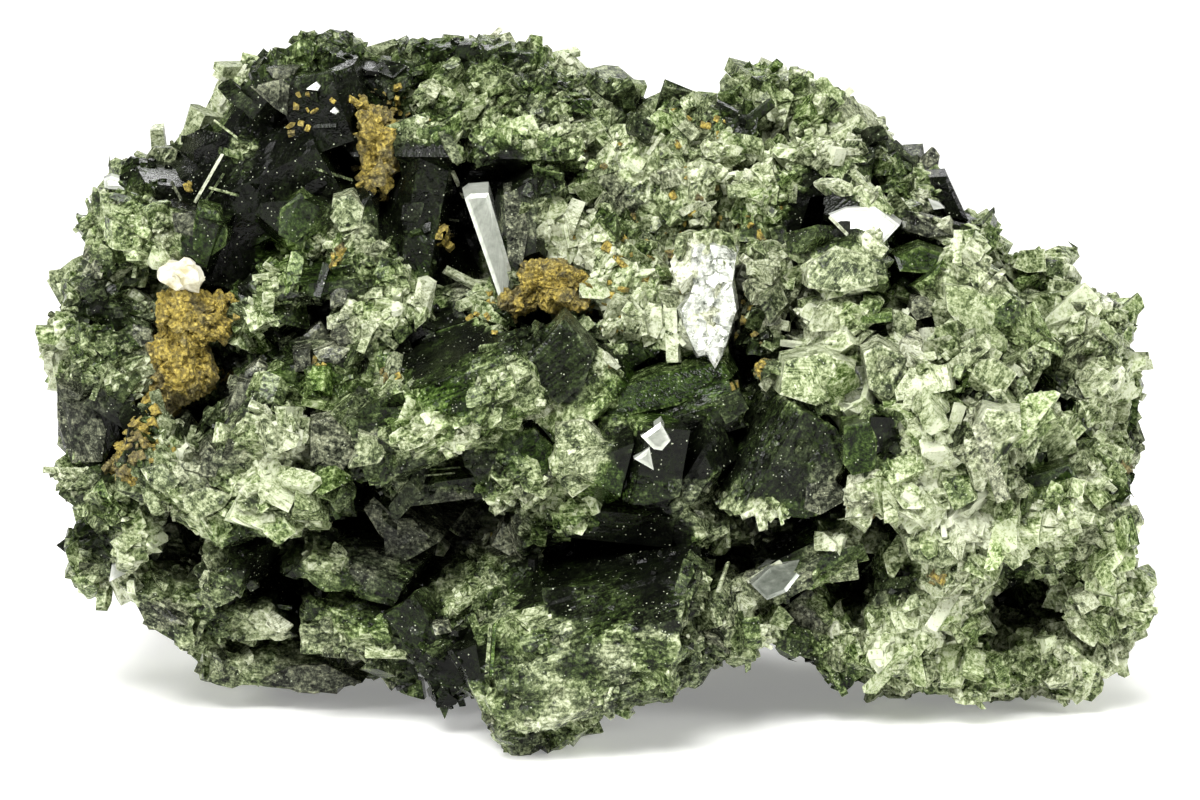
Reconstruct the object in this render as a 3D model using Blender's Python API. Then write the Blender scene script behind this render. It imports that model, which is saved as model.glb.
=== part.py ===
"""Rough epidote: a hand-sized cluster of intergrown prisms and blocks, with ochre crusts in its pockets.

Metres, +Z up. The front is seen along +Y and the origin is under the middle of the cluster, on the table.
Every crystal is placed as the eye meets it from the front: across and up in the plane of view, in
millimetres, and the depth of its front face. Negative depth is nearer the eye.
"""

import math
import random

import bmesh
import bpy
from mathutils import Matrix, Vector

MM = 0.001

# The plane of view: the eye looks at the middle of the cluster from a little above.
VIEW_ELEVATION = math.radians(10.0)
VIEW_DISTANCE = 335.0
VIEW_MIDDLE_UP = 21.2
# Moves the finished cluster so that its box is centred on the origin.
CENTRING = (-0.18, 0.17)

# Share of a crystal's width that the slanting prism edges take off, and how far its ends slope.
EDGE_SHARE = (0.12, 0.30)
SMALL_LENGTH = 8.5
END_SLOPE = 0.75
END_PLACE = (0.84, 0.98)
# Turn about the other two axes, in degrees, where a row doesn't give it.
FREE_DIP = 22.0
FREE_ROLL = 28.0

# How far a pocket's corners stand off its piece: the faces between them are left about 0.3 mm apart.
POCKET_GROWTH = 0.5
LUMP_ROUGHNESS = 0.1
LUMP_SQUARENESS = 0.8
TABLE_CUT = 30.0
# Corners closer than this, in millimetres, become one if no face then turns by more than the angle.
MERGE_DISTANCE = 0.32
MERGE_TURN = math.radians(9.0)
MERGE_PASSES = 6

# Hidden masses that carry the crystals: across, up, depth of the middle, width, height, thickness.
MASSES = [
    (-19.0, 27.0, 7.5, 33.0, 30.0, 21.5),
    (-33.0, 24.0, 4.0, 11.0, 22.0, 14.0),
    (3.0, 27.0, 8.5, 32.0, 28.0, 24.0),
    (22.5, 20.0, 6.5, 29.0, 29.0, 21.5),
    (33.0, 14.0, 4.0, 11.0, 22.0, 15.0),
    (13.5, 36.5, 10.0, 16.0, 16.0, 14.0),
    (-7.0, 37.5, 8.0, 20.0, 13.0, 13.0),
    (-20.0, 8.0, 5.0, 26.0, 11.0, 20.0),
    (-9.0, 13.5, 6.5, 20.0, 11.0, 17.0),
    (2.0, 9.5, 9.0, 34.0, 11.0, 17.0),
    (25.0, 6.5, 5.0, 24.0, 10.0, 20.0),
    (-23.0, 16.0, -5.0, 16.0, 9.0, 12.0),
    (-10.5, 21.0, -6.0, 13.0, 6.0, 12.0),
    (2.5, 17.5, -4.5, 14.0, 6.0, 11.0),
    (14.5, 18.5, -5.0, 11.0, 12.0, 12.0),
    (27.0, 15.0, -6.0, 16.0, 18.0, 14.0),
    (23.5, 26.0, -2.0, 16.0, 10.0, 12.0),
    (0.5, 4.6, -12.0, 14.0, 6.0, 15.0),
    (5.0, 32.5, 0.0, 14.0, 15.0, 9.0),
    (22.5, 31.5, 4.0, 12.0, 10.0, 12.0),
]

# Crystals: across, up, front, length, width, thickness, lean[, dip, roll], in millimetres and degrees.
TOP_RIDGE = [
    (-21.3, 43.6, -1.0, 9.0, 7.5, 9.0, 62.0, 0.0, 20.0),
    (-17.9, 45.2, 2.5, 5.6, 3.4, 5.0, 78.0, 0.0, 35.0),
    (-15.0, 45.6, 3.5, 3.6, 3.0, 5.0, 25.0),
    (-11.2, 45.0, 2.5, 5.4, 4.6, 7.0, 92.0, 5.0, 8.0),
    (-5.9, 45.0, 2.5, 4.4, 4.8, 7.0, 88.0, 6.0, -8.0),
    (-2.3, 43.9, 2.0, 6.5, 3.8, 7.0, -24.0),
    (1.2, 42.3, 2.0, 6.0, 4.0, 7.0, -33.0),
    (-14.6, 43.0, -1.5, 6.0, 4.5, 8.0, -12.0),
    (-11.0, 42.4, -2.0, 5.5, 4.0, 8.0, 24.0),
    (-7.4, 43.0, -1.5, 6.0, 4.0, 8.0, -30.0),
    (-3.6, 42.2, -1.5, 5.5, 4.2, 8.0, 18.0),
    (-0.3, 40.9, -1.0, 5.0, 4.0, 8.0, -40.0),
]
UPPER_LEFT = [
    (-27.3, 37.8, -4.0, 17.0, 7.5, 10.0, 27.0, 8.0, 14.0),
    (-23.2, 42.0, -2.5, 9.5, 6.5, 9.0, 60.0, -8.0, -12.0),
    (-22.6, 42.9, -4.5, 3.6, 3.4, 5.0, -42.0, 10.0, 8.0),
    (-18.6, 42.5, -4.5, 6.0, 5.4, 7.0, -70.0, 4.0, 6.0),
    (-26.0, 34.8, -3.5, 10.5, 6.5, 8.0, 78.0, -6.0, 20.0),
    (-28.4, 33.4, -7.0, 4.8, 4.0, 6.0, -20.0, 12.0, 10.0),
    (-12.6, 38.7, -5.0, 8.0, 3.2, 7.0, 2.0),
    (-5.2, 38.7, -4.5, 7.5, 3.0, 7.0, -4.0),
    (-12.8, 34.6, -5.5, 9.0, 4.4, 8.0, 80.0, -4.0, 12.0),
    (-4.6, 33.6, -7.5, 9.0, 4.2, 9.0, 86.0, 4.0, -6.0),
]
LEFT_EDGE = [
    (-32.7, 37.2, -4.5, 4.6, 4.2, 7.0, 50.0),
    (-34.6, 33.0, -4.5, 5.0, 4.4, 7.0, 70.0),
    (-31.6, 33.4, -6.0, 4.6, 4.2, 7.0, 35.0),
    (-34.2, 30.0, -4.0, 5.0, 3.6, 7.0, 60.0),
    (-33.0, 27.4, -5.5, 5.0, 4.0, 7.0, -30.0),
    (-38.1, 25.6, -2.0, 4.4, 3.6, 6.0, 30.0, 0.0, 10.0),
    (-35.2, 24.4, -6.5, 7.0, 5.0, 8.0, 12.0),
    (-33.2, 22.4, -7.0, 5.0, 4.0, 7.0, -32.0),
    (-36.3, 18.8, -6.0, 9.0, 4.6, 6.0, 96.0, 4.0, 6.0),
    (-34.4, 14.4, -9.0, 8.0, 3.6, 7.0, -46.0, 10.0, 14.0),
    (-35.8, 10.0, -5.0, 6.5, 3.4, 8.0, 18.0),
    (-33.2, 9.6, -6.0, 4.4, 3.6, 7.0, -8.0),
]
LEFT_MIDDLE = [
    (-20.6, 33.6, -7.0, 6.0, 5.0, 8.0, 66.0, 8.0, -14.0),
    (-17.0, 34.0, -7.0, 5.0, 4.0, 8.0, 30.0, 6.0, 18.0),
    (-19.4, 30.1, -8.5, 10.0, 2.6, 7.0, 6.0, 4.0, 12.0),
    (-15.8, 31.7, -8.5, 5.4, 3.0, 7.0, -36.0),
    (-12.8, 28.2, -9.0, 6.6, 2.6, 7.0, -62.0, 6.0, 10.0),
    (-15.6, 27.2, -10.0, 4.8, 4.0, 7.0, 16.0, 4.0, 12.0),
    (-19.2, 24.6, -9.0, 5.4, 3.4, 7.0, 14.0),
    (-23.4, 27.2, -7.5, 5.4, 4.4, 7.0, 40.0),
    (-22.4, 22.6, -9.5, 5.4, 4.0, 8.0, 20.0),
    (-17.0, 22.4, -10.5, 6.4, 4.6, 8.0, 24.0),
    (-30.4, 17.8, -12.0, 8.0, 2.6, 7.0, -60.0, 8.0, 18.0),
    (-28.6, 15.0, -13.5, 9.6, 4.4, 8.0, -27.0, 8.0, -16.0),
    (-25.0, 14.8, -14.0, 5.4, 3.6, 8.0, 22.0),
    (-23.8, 18.4, -14.0, 6.4, 5.4, 8.0, 48.0, 8.0, 12.0),
    (-20.8, 17.8, -13.0, 5.4, 4.4, 8.0, -22.0),
    (-17.2, 18.4, -12.5, 6.0, 4.0, 7.0, -10.0, 4.0, 4.0),
    (-21.4, 15.8, -15.0, 7.6, 2.2, 7.0, 6.0, 4.0, 10.0),
    (-22.4, 13.5, -14.5, 7.4, 2.8, 8.0, 14.0, 2.0, -14.0),
    (-24.8, 10.3, -12.5, 6.0, 3.2, 9.0, 14.0, 4.0, 12.0),
    (-17.2, 10.2, -12.0, 11.0, 3.4, 9.0, -16.0, 4.0, 12.0),
]
LOWER_LEFT = [
    (-28.2, 8.2, -8.5, 9.6, 4.2, 10.0, -6.0, 2.0, 20.0),
    (-23.2, 7.2, -9.5, 6.4, 3.6, 9.0, 8.0),
    (-29.6, 5.2, -8.5, 7.4, 2.8, 9.0, -26.0, 0.0, 14.0),
    (-22.6, 3.8, -6.5, 13.0, 3.6, 10.0, -6.0, 0.0, 18.0),
    (-19.8, 1.4, -2.2, 10.5, 3.8, 9.0, 4.0, 0.0, 8.0),
    (-15.2, 6.8, -12.0, 10.5, 3.4, 10.0, 2.0, 2.0, 16.0),
    (-15.0, 4.4, -10.5, 9.5, 2.4, 9.0, 4.0),
    (-13.8, 2.5, -8.0, 5.4, 4.0, 8.0, -40.0),
    (-11.6, 2.3, -13.5, 8.4, 3.6, 9.0, -56.0, 6.0, 12.0),
]
FOOT = [
    (1.2, 3.2, -22.0, 16.0, 8.0, 14.0, 16.0, 0.0, 6.0),
    (-4.6, -0.2, -18.8, 8.4, 6.6, 10.0, -62.0, 0.0, 16.0),
    (-2.2, -1.2, -18.4, 6.4, 5.0, 10.0, 34.0, 4.0, -12.0),
    (5.2, 2.0, -20.0, 7.0, 5.0, 10.0, 22.0, 0.0, 20.0),
    (9.6, 4.0, -15.5, 6.0, 4.8, 9.0, 34.0),
    (1.6, 7.3, -18.0, 9.6, 2.2, 12.0, 4.0, 0.0, -14.0),
    (-7.4, 7.3, -14.5, 10.0, 3.4, 10.0, 27.0, 4.0, 18.0),
    (-8.2, 3.2, -12.5, 5.4, 4.2, 8.0, 70.0),
]
CENTRE = [
    (-13.4, 12.4, -10.5, 5.6, 4.2, 8.0, -36.0, 6.0, 16.0),
    (-2.8, 12.2, -12.5, 7.6, 2.8, 8.0, 30.0, 4.0, -16.0),
    (-9.8, 16.7, -11.0, 9.4, 3.0, 8.0, 8.0, 4.0, 16.0),
    (-10.4, 21.2, -17.5, 13.0, 5.2, 9.0, 27.0, 2.0, 16.0),
    (-7.0, 23.2, -14.5, 7.0, 3.6, 8.0, 18.0),
    (-9.4, 26.4, -10.5, 9.6, 2.6, 8.0, 14.0, 0.0, 22.0),
    (-1.5, 23.6, -14.5, 6.6, 5.8, 9.0, -52.0, 6.0, 12.0),
    (-5.6, 17.2, -15.0, 5.4, 4.4, 8.0, -60.0, 4.0, 10.0),
    (-0.9, 17.2, -17.0, 6.8, 4.4, 9.0, 76.0, 6.0, 14.0),
    (4.2, 21.2, -13.0, 12.5, 4.0, 9.0, 15.0, 2.0, 26.0),
    (3.6, 17.6, -16.5, 5.6, 3.6, 8.0, 80.0, 4.0, 16.0),
    (7.6, 17.4, -14.5, 6.4, 5.4, 8.0, -66.0, 4.0, 8.0),
    (2.0, 14.2, -14.0, 7.6, 2.8, 8.0, -6.0, 0.0, 16.0),
    (7.6, 13.2, -14.0, 7.4, 3.2, 9.0, -50.0, 0.0, 20.0),
    (3.0, 9.5, -6.0, 10.0, 1.8, 8.0, 2.0),
]
PALE_CREST = [
    (-1.0, 33.4, -6.0, 4.6, 3.6, 8.0, -8.0, 8.0, 6.0),
    (1.8, 30.6, -8.5, 8.6, 6.4, 9.0, 64.0, -6.0, 8.0),
    (4.6, 27.4, -9.5, 6.4, 5.6, 9.0, -30.0, 0.0, 10.0),
    (8.0, 28.2, -11.0, 9.4, 4.0, 7.0, 86.0, -8.0, 4.0),
    (5.6, 34.4, -4.5, 6.0, 5.4, 9.0, 12.0, -8.0, -12.0),
    (11.5, 33.6, -5.0, 7.0, 4.6, 9.0, 72.0, -10.0, 8.0),
    (1.8, 37.4, -2.5, 6.6, 5.6, 9.0, 44.0, -10.0, 10.0),
    (7.0, 38.6, -1.0, 8.0, 5.0, 9.0, -12.0, 0.0, -24.0),
    (12.0, 28.4, -9.5, 7.4, 2.6, 7.0, 80.0, -4.0, 14.0),
]
RIGHT_PEAK = [
    (11.7, 42.8, 4.0, 4.6, 4.0, 7.0, 70.0),
    (14.2, 43.2, 4.0, 4.6, 3.0, 7.0, -70.0),
    (6.8, 41.5, 3.0, 3.6, 2.6, 5.0, 80.0),
    (16.6, 41.0, 3.0, 5.0, 4.2, 7.0, -38.0),
    (17.6, 38.6, -2.0, 7.0, 4.0, 8.0, 10.0, -6.0, -12.0),
    (21.0, 38.4, 1.0, 5.0, 3.6, 7.0, -40.0),
    (22.2, 35.9, -1.5, 5.4, 3.6, 8.0, -32.0),
    (26.0, 35.4, -1.0, 7.0, 3.2, 7.0, -66.0, 0.0, 12.0),
    (13.6, 36.4, -2.0, 5.0, 3.8, 8.0, 58.0),
    (19.6, 34.1, -7.5, 5.6, 2.4, 7.0, -16.0, 8.0, -18.0),
    (25.6, 32.9, -5.5, 8.6, 2.4, 8.0, -15.0, 0.0, -14.0),
    (31.4, 30.6, -2.0, 6.4, 3.4, 8.0, -18.0),
]
RIGHT_BODY = [
    (17.8, 30.8, -11.0, 6.4, 4.6, 9.0, 12.0, 4.0, -12.0),
    (17.6, 27.2, -11.5, 5.8, 3.4, 8.0, 6.0, 0.0, 10.0),
    (19.4, 25.4, -12.0, 9.6, 2.4, 8.0, 10.0, 0.0, 16.0),
    (27.4, 27.4, -11.0, 9.6, 5.0, 8.0, -50.0, 0.0, -10.0),
    (33.8, 26.8, -7.5, 6.6, 4.6, 9.0, 62.0, -4.0, 12.0),
    (36.8, 26.0, -2.5, 5.6, 3.4, 8.0, 88.0, 0.0, 8.0),
    (16.2, 22.3, -14.5, 7.0, 4.8, 9.0, 16.0, 2.0, -12.0),
    (20.9, 23.0, -15.0, 5.0, 4.0, 9.0, 80.0, 6.0, 12.0),
    (13.8, 17.0, -15.5, 8.8, 6.4, 9.0, 60.0, 2.0, 12.0),
    (19.4, 17.6, -16.5, 6.8, 3.2, 9.0, 84.0, 2.0, 18.0),
    (23.9, 22.0, -16.0, 5.2, 3.2, 8.0, 78.0, 4.0, 8.0),
    (23.6, 18.6, -17.0, 5.4, 3.4, 9.0, 42.0),
    (27.6, 24.6, -14.5, 5.2, 4.0, 8.0, 20.0),
    (29.0, 19.4, -19.0, 4.6, 3.4, 8.0, -34.0, 6.0, 12.0),
    (36.6, 22.2, -7.5, 5.4, 3.8, 8.0, 72.0),
    (38.0, 19.2, -1.5, 5.6, 2.2, 8.0, 84.0),
    (27.8, 16.6, -16.0, 5.2, 3.8, 8.0, -70.0),
    (23.2, 14.8, -16.5, 5.4, 4.0, 8.0, 24.0),
    (27.4, 13.3, -16.5, 5.4, 4.0, 8.0, -14.0),
    (36.0, 15.4, -9.5, 5.4, 4.0, 8.0, 60.0),
    (31.4, 12.8, -15.0, 5.6, 3.8, 8.0, 8.0),
    (35.6, 11.6, -11.0, 5.4, 4.2, 8.0, -26.0),
]
RIGHT_BASE = [
    (24.7, 11.2, -17.0, 5.2, 3.8, 9.0, -12.0, 4.0, 10.0),
    (16.2, 11.6, -13.5, 9.6, 2.8, 9.0, 31.0, 0.0, 14.0),
    (13.6, 8.7, -13.0, 7.2, 2.8, 9.0, 26.0, 0.0, -8.0),
    (13.2, 6.4, -12.0, 9.6, 2.0, 9.0, -27.0, 0.0, 18.0),
    (17.2, 5.6, -10.5, 7.4, 4.2, 9.0, -48.0, 0.0, 16.0),
    (21.8, 7.2, -12.5, 9.0, 4.8, 9.0, 84.0, 0.0, 12.0),
    (26.0, 7.4, -13.0, 7.8, 3.8, 9.0, 86.0, 0.0, -14.0),
    (20.8, 3.6, -10.5, 12.5, 4.4, 12.0, -13.0, 0.0, 12.0),
    (18.5, 0.9, -3.8, 3.8, 3.2, 6.0, 52.0),
    (23.2, 2.2, -6.5, 5.0, 2.8, 9.0, 12.0),
    (30.4, 1.6, -3.4, 8.4, 4.6, 9.0, 8.0, 0.0, 8.0),
    (30.0, 3.6, -8.5, 8.0, 3.6, 9.0, 12.0, 0.0, 12.0),
    (35.4, 3.0, -7.0, 6.4, 4.2, 10.0, 26.0, 0.0, 10.0),
    (37.4, 6.8, -7.0, 5.8, 4.6, 9.0, 68.0),
    (36.0, 8.6, -10.0, 5.0, 3.8, 8.0, -20.0),
]
FRONT = [
    TOP_RIDGE,
    UPPER_LEFT,
    LEFT_EDGE,
    LEFT_MIDDLE,
    LOWER_LEFT,
    FOOT,
    CENTRE,
    PALE_CREST,
    RIGHT_PEAK,
    RIGHT_BODY,
    RIGHT_BASE,
]

# The outline of the cluster in the plane of view. No crystal reaches past it.
OUTLINE = [
    (-39.7, 25.0), (-38.8, 27.2), (-36.4, 28.6), (-36.6, 33.0), (-36.4, 35.8), (-34.2, 37.4),
    (-32.2, 39.5), (-28.3, 41.2), (-26.2, 42.9), (-25.0, 45.2), (-22.3, 46.9), (-20.7, 47.9),
    (-19.4, 46.8), (-17.9, 47.9), (-16.2, 47.3), (-14.1, 46.4), (-12.8, 47.7), (-9.8, 47.3),
    (-9.0, 46.5), (-7.9, 47.6), (-5.0, 47.0), (-2.0, 46.0), (0.2, 44.5), (2.0, 43.2), (4.4, 43.4),
    (6.4, 42.3), (8.0, 42.6), (10.2, 43.6), (11.6, 44.8), (13.2, 44.5), (14.1, 45.3), (15.6, 43.6),
    (18.2, 42.0), (20.2, 40.2), (22.4, 39.3), (24.2, 37.8), (26.4, 36.4), (28.4, 33.9),
    (30.0, 31.9), (33.8, 30.8), (35.9, 28.2), (38.2, 28.2), (38.6, 24.5), (39.1, 21.5),
    (39.2, 16.5), (38.0, 13.5), (38.6, 11.0), (39.8, 8.0), (39.2, 5.0), (37.8, 2.0), (36.0, 0.5),
    (33.0, -0.3), (30.0, -0.5), (27.0, -0.2), (25.0, 0.4), (22.0, 0.3), (19.8, 0.7), (19.0, -0.6),
    (17.8, -0.6), (17.0, 0.8), (15.5, 2.8), (13.0, 5.0), (12.4, 4.1), (9.0, 1.8), (5.0, -0.2),
    (0.0, -2.4), (-2.0, -3.6), (-4.2, -4.1), (-5.6, -3.9), (-7.0, -2.8), (-8.5, -1.6),
    (-10.5, -0.8), (-12.0, 0.2), (-16.0, 0.0), (-19.0, -0.2), (-22.0, 0.5), (-24.5, 0.8),
    (-28.0, 1.2), (-30.0, 2.6), (-31.5, 3.9), (-32.3, 5.6), (-32.8, 7.2), (-36.0, 7.8),
    (-38.3, 8.6), (-38.2, 10.2), (-37.3, 11.5), (-38.1, 14.2), (-37.9, 16.5), (-37.2, 18.0),
    (-37.9, 20.5), (-38.4, 22.5),
]
# Crystals are drawn inside it in a few steps, by their largest overshoot.
PULL_STEPS = 4
PULL_SHARE = 0.9
# The hidden side: how far apart its crystals are in rows that rise, how much each strays from its place, how
# deep they are near the outline and how much deeper in the middle, their sizes, and how far each tips.
BACK_SPACING = 9.9
BACK_RISE = 0.9
BACK_STRAY = 0.2
BACK_INSET = 3.2
BACK_RIM = 2.0
BACK_BULGE = 14.0
BACK_REACH = 9.0
BACK_LENGTH = (10.0, 16.0)
BACK_WIDTH = (7.5, 10.5)
BACK_THICKNESS = (0.9, 1.4)
BACK_TIP = 25.0
# A crystal that comes too near the outline is made smaller by this share, as often as it takes.
BACK_SHRINK = 0.88
BACK_MARGIN = 1.0
# The feet: x, y, z of the middle, length, width, thickness, lean. The first is under the front's low block.
FEET = [
    (-4.2, -12.4, 3.0, 4.6, 8.4, 9.6, 8.0),
    (-21.0, 9.0, 4.2, 12.0, 8.0, 12.0, 12.0),
    (-6.0, 12.0, 6.5, 11.0, 8.0, 10.0, -10.0),
    (8.0, 13.0, 7.5, 11.0, 8.0, 10.0, 14.0),
    (27.0, 9.0, 4.2, 12.0, 8.0, 12.0, -10.0),
]

# Ochre crusts and the white chip, each of one or more lumps: across, up, front, width, height, thickness,
# lean, and how often the lump's faces are divided.
SMALL_PIECES = {
    "limonite_left": [
        (-28.5, 27.2, -8.4, 5.6, 3.8, 4.8, -8.0, 2),
        (-29.2, 23.9, -8.8, 4.2, 5.6, 4.4, 16.0, 2),
        (-30.8, 20.9, -8.4, 3.0, 3.4, 3.8, 30.0, 1),
    ],
    "limonite_lower_left": [(-32.9, 17.0, -8.2, 3.4, 2.6, 4.0, 40.0, 1)],
    "limonite_middle": [
        (-2.6, 29.4, -10.4, 5.2, 3.4, 4.4, -10.0, 2),
        (-4.9, 28.4, -10.0, 3.4, 2.2, 3.4, 22.0, 1),
    ],
    "limonite_upper": [
        (-15.2, 38.4, -5.6, 2.6, 4.8, 3.8, 16.0, 1),
        (-15.5, 40.9, -5.6, 3.2, 2.6, 3.6, -12.0, 1),
    ],
    "white_chip": [(-29.2, 30.2, -8.2, 3.6, 1.9, 2.8, -24.0, 1)],
}


def clear_scene():
    for obj in list(bpy.data.objects):
        bpy.data.objects.remove(obj)


def seen(across, up, depth):
    """The point, in millimetres, that the eye meets at that place in the plane of view and at that depth."""
    rise = up - VIEW_MIDDLE_UP
    to_plane = VIEW_DISTANCE * math.cos(VIEW_ELEVATION)
    share = (depth + to_plane) / (to_plane + rise * math.sin(VIEW_ELEVATION))
    eye_height = VIEW_MIDDLE_UP / math.cos(VIEW_ELEVATION) + VIEW_DISTANCE * math.sin(VIEW_ELEVATION)
    fall = -VIEW_DISTANCE * math.sin(VIEW_ELEVATION) + rise * math.cos(VIEW_ELEVATION)
    return Vector((share * across, depth, eye_height + share * fall))


def plane_of(point):
    """Across and up, in the plane of view, of a point in millimetres: the reverse of seen."""
    eye_height = VIEW_MIDDLE_UP / math.cos(VIEW_ELEVATION) + VIEW_DISTANCE * math.sin(VIEW_ELEVATION)
    ray = point - Vector((0, -VIEW_DISTANCE * math.cos(VIEW_ELEVATION), eye_height))
    reach = ray.y * math.cos(VIEW_ELEVATION) - ray.z * math.sin(VIEW_ELEVATION)
    rise = ray.y * math.sin(VIEW_ELEVATION) + ray.z * math.cos(VIEW_ELEVATION)
    return ray.x * VIEW_DISTANCE / reach, rise * VIEW_DISTANCE / reach + VIEW_MIDDLE_UP


def to_outline(across, up):
    """Distance inward from the outline, less than nothing outside it, and the direction out to it."""
    point, inside, nearest = Vector((across, up)), False, None
    for start, end in zip(OUTLINE, OUTLINE[1:] + OUTLINE[:1]):
        start, end = Vector(start), Vector(end)
        side = end - start
        share = min(1.0, max(0.0, (point - start).dot(side) / side.length_squared))
        gap = start + side * share - point
        if nearest is None or gap.length < nearest.length:
            nearest = gap
        if (start.y > up) != (end.y > up) and across < start.x + (up - start.y) * side.x / side.y:
            inside = not inside
    return (nearest.length if inside else -nearest.length), nearest.normalized()


def turned(lean, dip, roll):
    """Rotation of a crystal whose long axis starts along X, its width up and its thickness to the eye."""
    lean, dip, roll = (math.radians(angle) for angle in (lean, dip, roll))
    long_axis = Vector((math.cos(lean), 0, math.sin(lean)))
    to_eye = Vector((0, -1, 0))
    facing = Matrix((long_axis, to_eye.cross(long_axis), to_eye)).transposed()
    return facing @ Matrix.Rotation(-dip, 3, "Y") @ Matrix.Rotation(roll, 3, "X")


def cut_off(bm, point, normal):
    """Removes what lies beyond a plane and closes the cut."""
    geometry = bm.verts[:] + bm.edges[:] + bm.faces[:]
    bmesh.ops.bisect_plane(bm, geom=geometry, dist=1e-7, plane_co=point, plane_no=normal, clear_outer=True)
    rim = [edge for edge in bm.edges if edge.is_boundary]
    if rim:
        bmesh.ops.holes_fill(bm, edges=rim)


def prism(length, width, thick, rng):
    """One crystal along X: a box with sloping ends, and slanting prism edges on the side that shows, +Z."""
    bm = bmesh.new()
    bmesh.ops.create_cube(bm, size=1.0)
    bmesh.ops.scale(bm, vec=(length, width, thick), verts=bm.verts)
    half = Vector((length, width, thick)) / 2
    sides = (1, -1) if length > SMALL_LENGTH else (rng.choice((1, -1)),)
    for side in sides:
        normal = Vector((0, side * thick, width)).normalized()
        reach = abs(normal.y) * half.y + normal.z * half.z
        cut_off(bm, normal * reach * (1.0 - rng.uniform(*EDGE_SHARE)), normal)
    for end in (1, -1):
        slope = Vector((end, rng.uniform(-END_SLOPE, END_SLOPE), rng.uniform(-END_SLOPE, END_SLOPE)))
        cut_off(bm, Vector((end * half.x * rng.uniform(*END_PLACE), 0, 0)), slope.normalized())
    return bm


def lump(width, height, thick, rng, roughness, subdivisions):
    """A rounded mass with uneven faces, width along X, height along Z and thickness along Y."""
    bm = bmesh.new()
    bmesh.ops.create_icosphere(bm, subdivisions=subdivisions, radius=0.5)
    for vert in bm.verts:
        vert.co *= 1.0 + rng.uniform(-roughness, roughness)
        # A box-like oval fills its corners better than a ball does.
        vert.co = Vector([math.copysign(abs(side * 2) ** LUMP_SQUARENESS / 2, side) for side in vert.co])
        vert.co = Vector((vert.co.x * width, vert.co.y * thick, vert.co.z * height))
    return bm


def add_object(name, bm, matrix):
    """Turns a bmesh in millimetres into an object in metres whose place is in its mesh."""
    bmesh.ops.transform(bm, matrix=Matrix.Scale(MM, 4) @ matrix, verts=bm.verts)
    bmesh.ops.recalc_face_normals(bm, faces=bm.faces)
    mesh = bpy.data.meshes.new(name)
    bm.to_mesh(mesh)
    bm.free()
    obj = bpy.data.objects.new(name, mesh)
    bpy.context.scene.collection.objects.link(obj)
    return obj


def pulled_inside(bm, place):
    """The place moved towards the middle of the view until the crystal is inside the outline."""
    for _ in range(PULL_STEPS):
        worst, away = 0.0, None
        for vert in bm.verts:
            point = place @ vert.co
            point.z = max(point.z, 0.0)
            inset, direction = to_outline(*plane_of(point))
            if -inset > worst:
                worst, away = -inset, direction
        if away is not None:
            place = Matrix.Translation(Vector((away.x, 0, away.y)) * worst * PULL_SHARE) @ place
    return place


def front_crystals(rng):
    made = []
    for rows in FRONT:
        for across, up, front, length, width, thick, lean, *turn in rows:
            free = (rng.uniform(-FREE_DIP, FREE_DIP), rng.uniform(-FREE_ROLL, FREE_ROLL))
            dip, roll = turn or free
            bm = prism(length, width, thick, rng)
            place = Matrix.Translation(seen(across, up, front + thick / 2)) @ turned(lean, dip, roll).to_4x4()
            made.append(add_object("crystal", bm, pulled_inside(bm, place)))
    return made


def back_crystals(rng):
    """Crystals that grow outwards over the side that the eye doesn't see, inside the outline."""
    made = []
    rows = range(int(-40 / BACK_SPACING) - 1, int(40 / BACK_SPACING) + 2)
    for i in rows:
        for j in range(7):
            across = (i + 0.5 * (j % 2) + rng.uniform(-BACK_STRAY, BACK_STRAY)) * BACK_SPACING
            up = (j + 0.35 + rng.uniform(-BACK_STRAY, BACK_STRAY)) * BACK_SPACING * BACK_RISE
            inset, away = to_outline(across, up)
            if inset < BACK_INSET:
                continue
            slope = math.exp(-inset / BACK_REACH)
            depth = BACK_RIM + BACK_BULGE * (1.0 - slope)
            out = Vector((away.x * slope, 1.0 - 0.6 * slope, away.y * slope)).normalized()
            turn = out.to_track_quat("Z", "Y").to_matrix() @ Matrix.Rotation(rng.uniform(0, math.pi), 3, "Z")
            turn = turn @ Matrix.Rotation(math.radians(rng.uniform(-BACK_TIP, BACK_TIP)), 3, "Y")
            place = Matrix.Translation(seen(across, up, depth)) @ turn.to_4x4()
            width = rng.uniform(*BACK_WIDTH)
            bm = prism(rng.uniform(*BACK_LENGTH), width, width * rng.uniform(*BACK_THICKNESS), rng)
            while any(to_outline(*plane_of(place @ vert.co))[0] < BACK_MARGIN for vert in bm.verts):
                bmesh.ops.scale(bm, vec=[BACK_SHRINK] * 3, verts=bm.verts)
            made.append(add_object("crystal", bm, place))
    for x, y, z, length, width, thick, lean in FEET:
        bm = prism(length, width, thick, rng)
        made.append(add_object("crystal", bm, Matrix.Translation((x, y, z)) @ turned(lean, 0, 0).to_4x4()))
    return made


def masses(rng):
    made = []
    for across, up, depth, width, height, thick in MASSES:
        place = Matrix.Translation(seen(across, up, depth))
        made.append(add_object("mass", lump(width, height, thick, rng, LUMP_ROUGHNESS, 1), place))
    return made


def join_with(base, others, operation):
    """Applies one Boolean of all the others to the base and removes them."""
    collection = bpy.data.collections.new("operands")
    for obj in others:
        collection.objects.link(obj)
    modifier = base.modifiers.new("Join", "BOOLEAN")
    modifier.operation = operation
    modifier.operand_type = "COLLECTION"
    modifier.collection = collection
    modifier.solver = "EXACT"
    graph = bpy.context.evaluated_depsgraph_get()
    mesh = bpy.data.meshes.new_from_object(base.evaluated_get(graph))
    base.modifiers.clear()
    base.data = mesh
    for obj in others:
        bpy.data.objects.remove(obj)
    bpy.data.collections.remove(collection)


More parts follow.
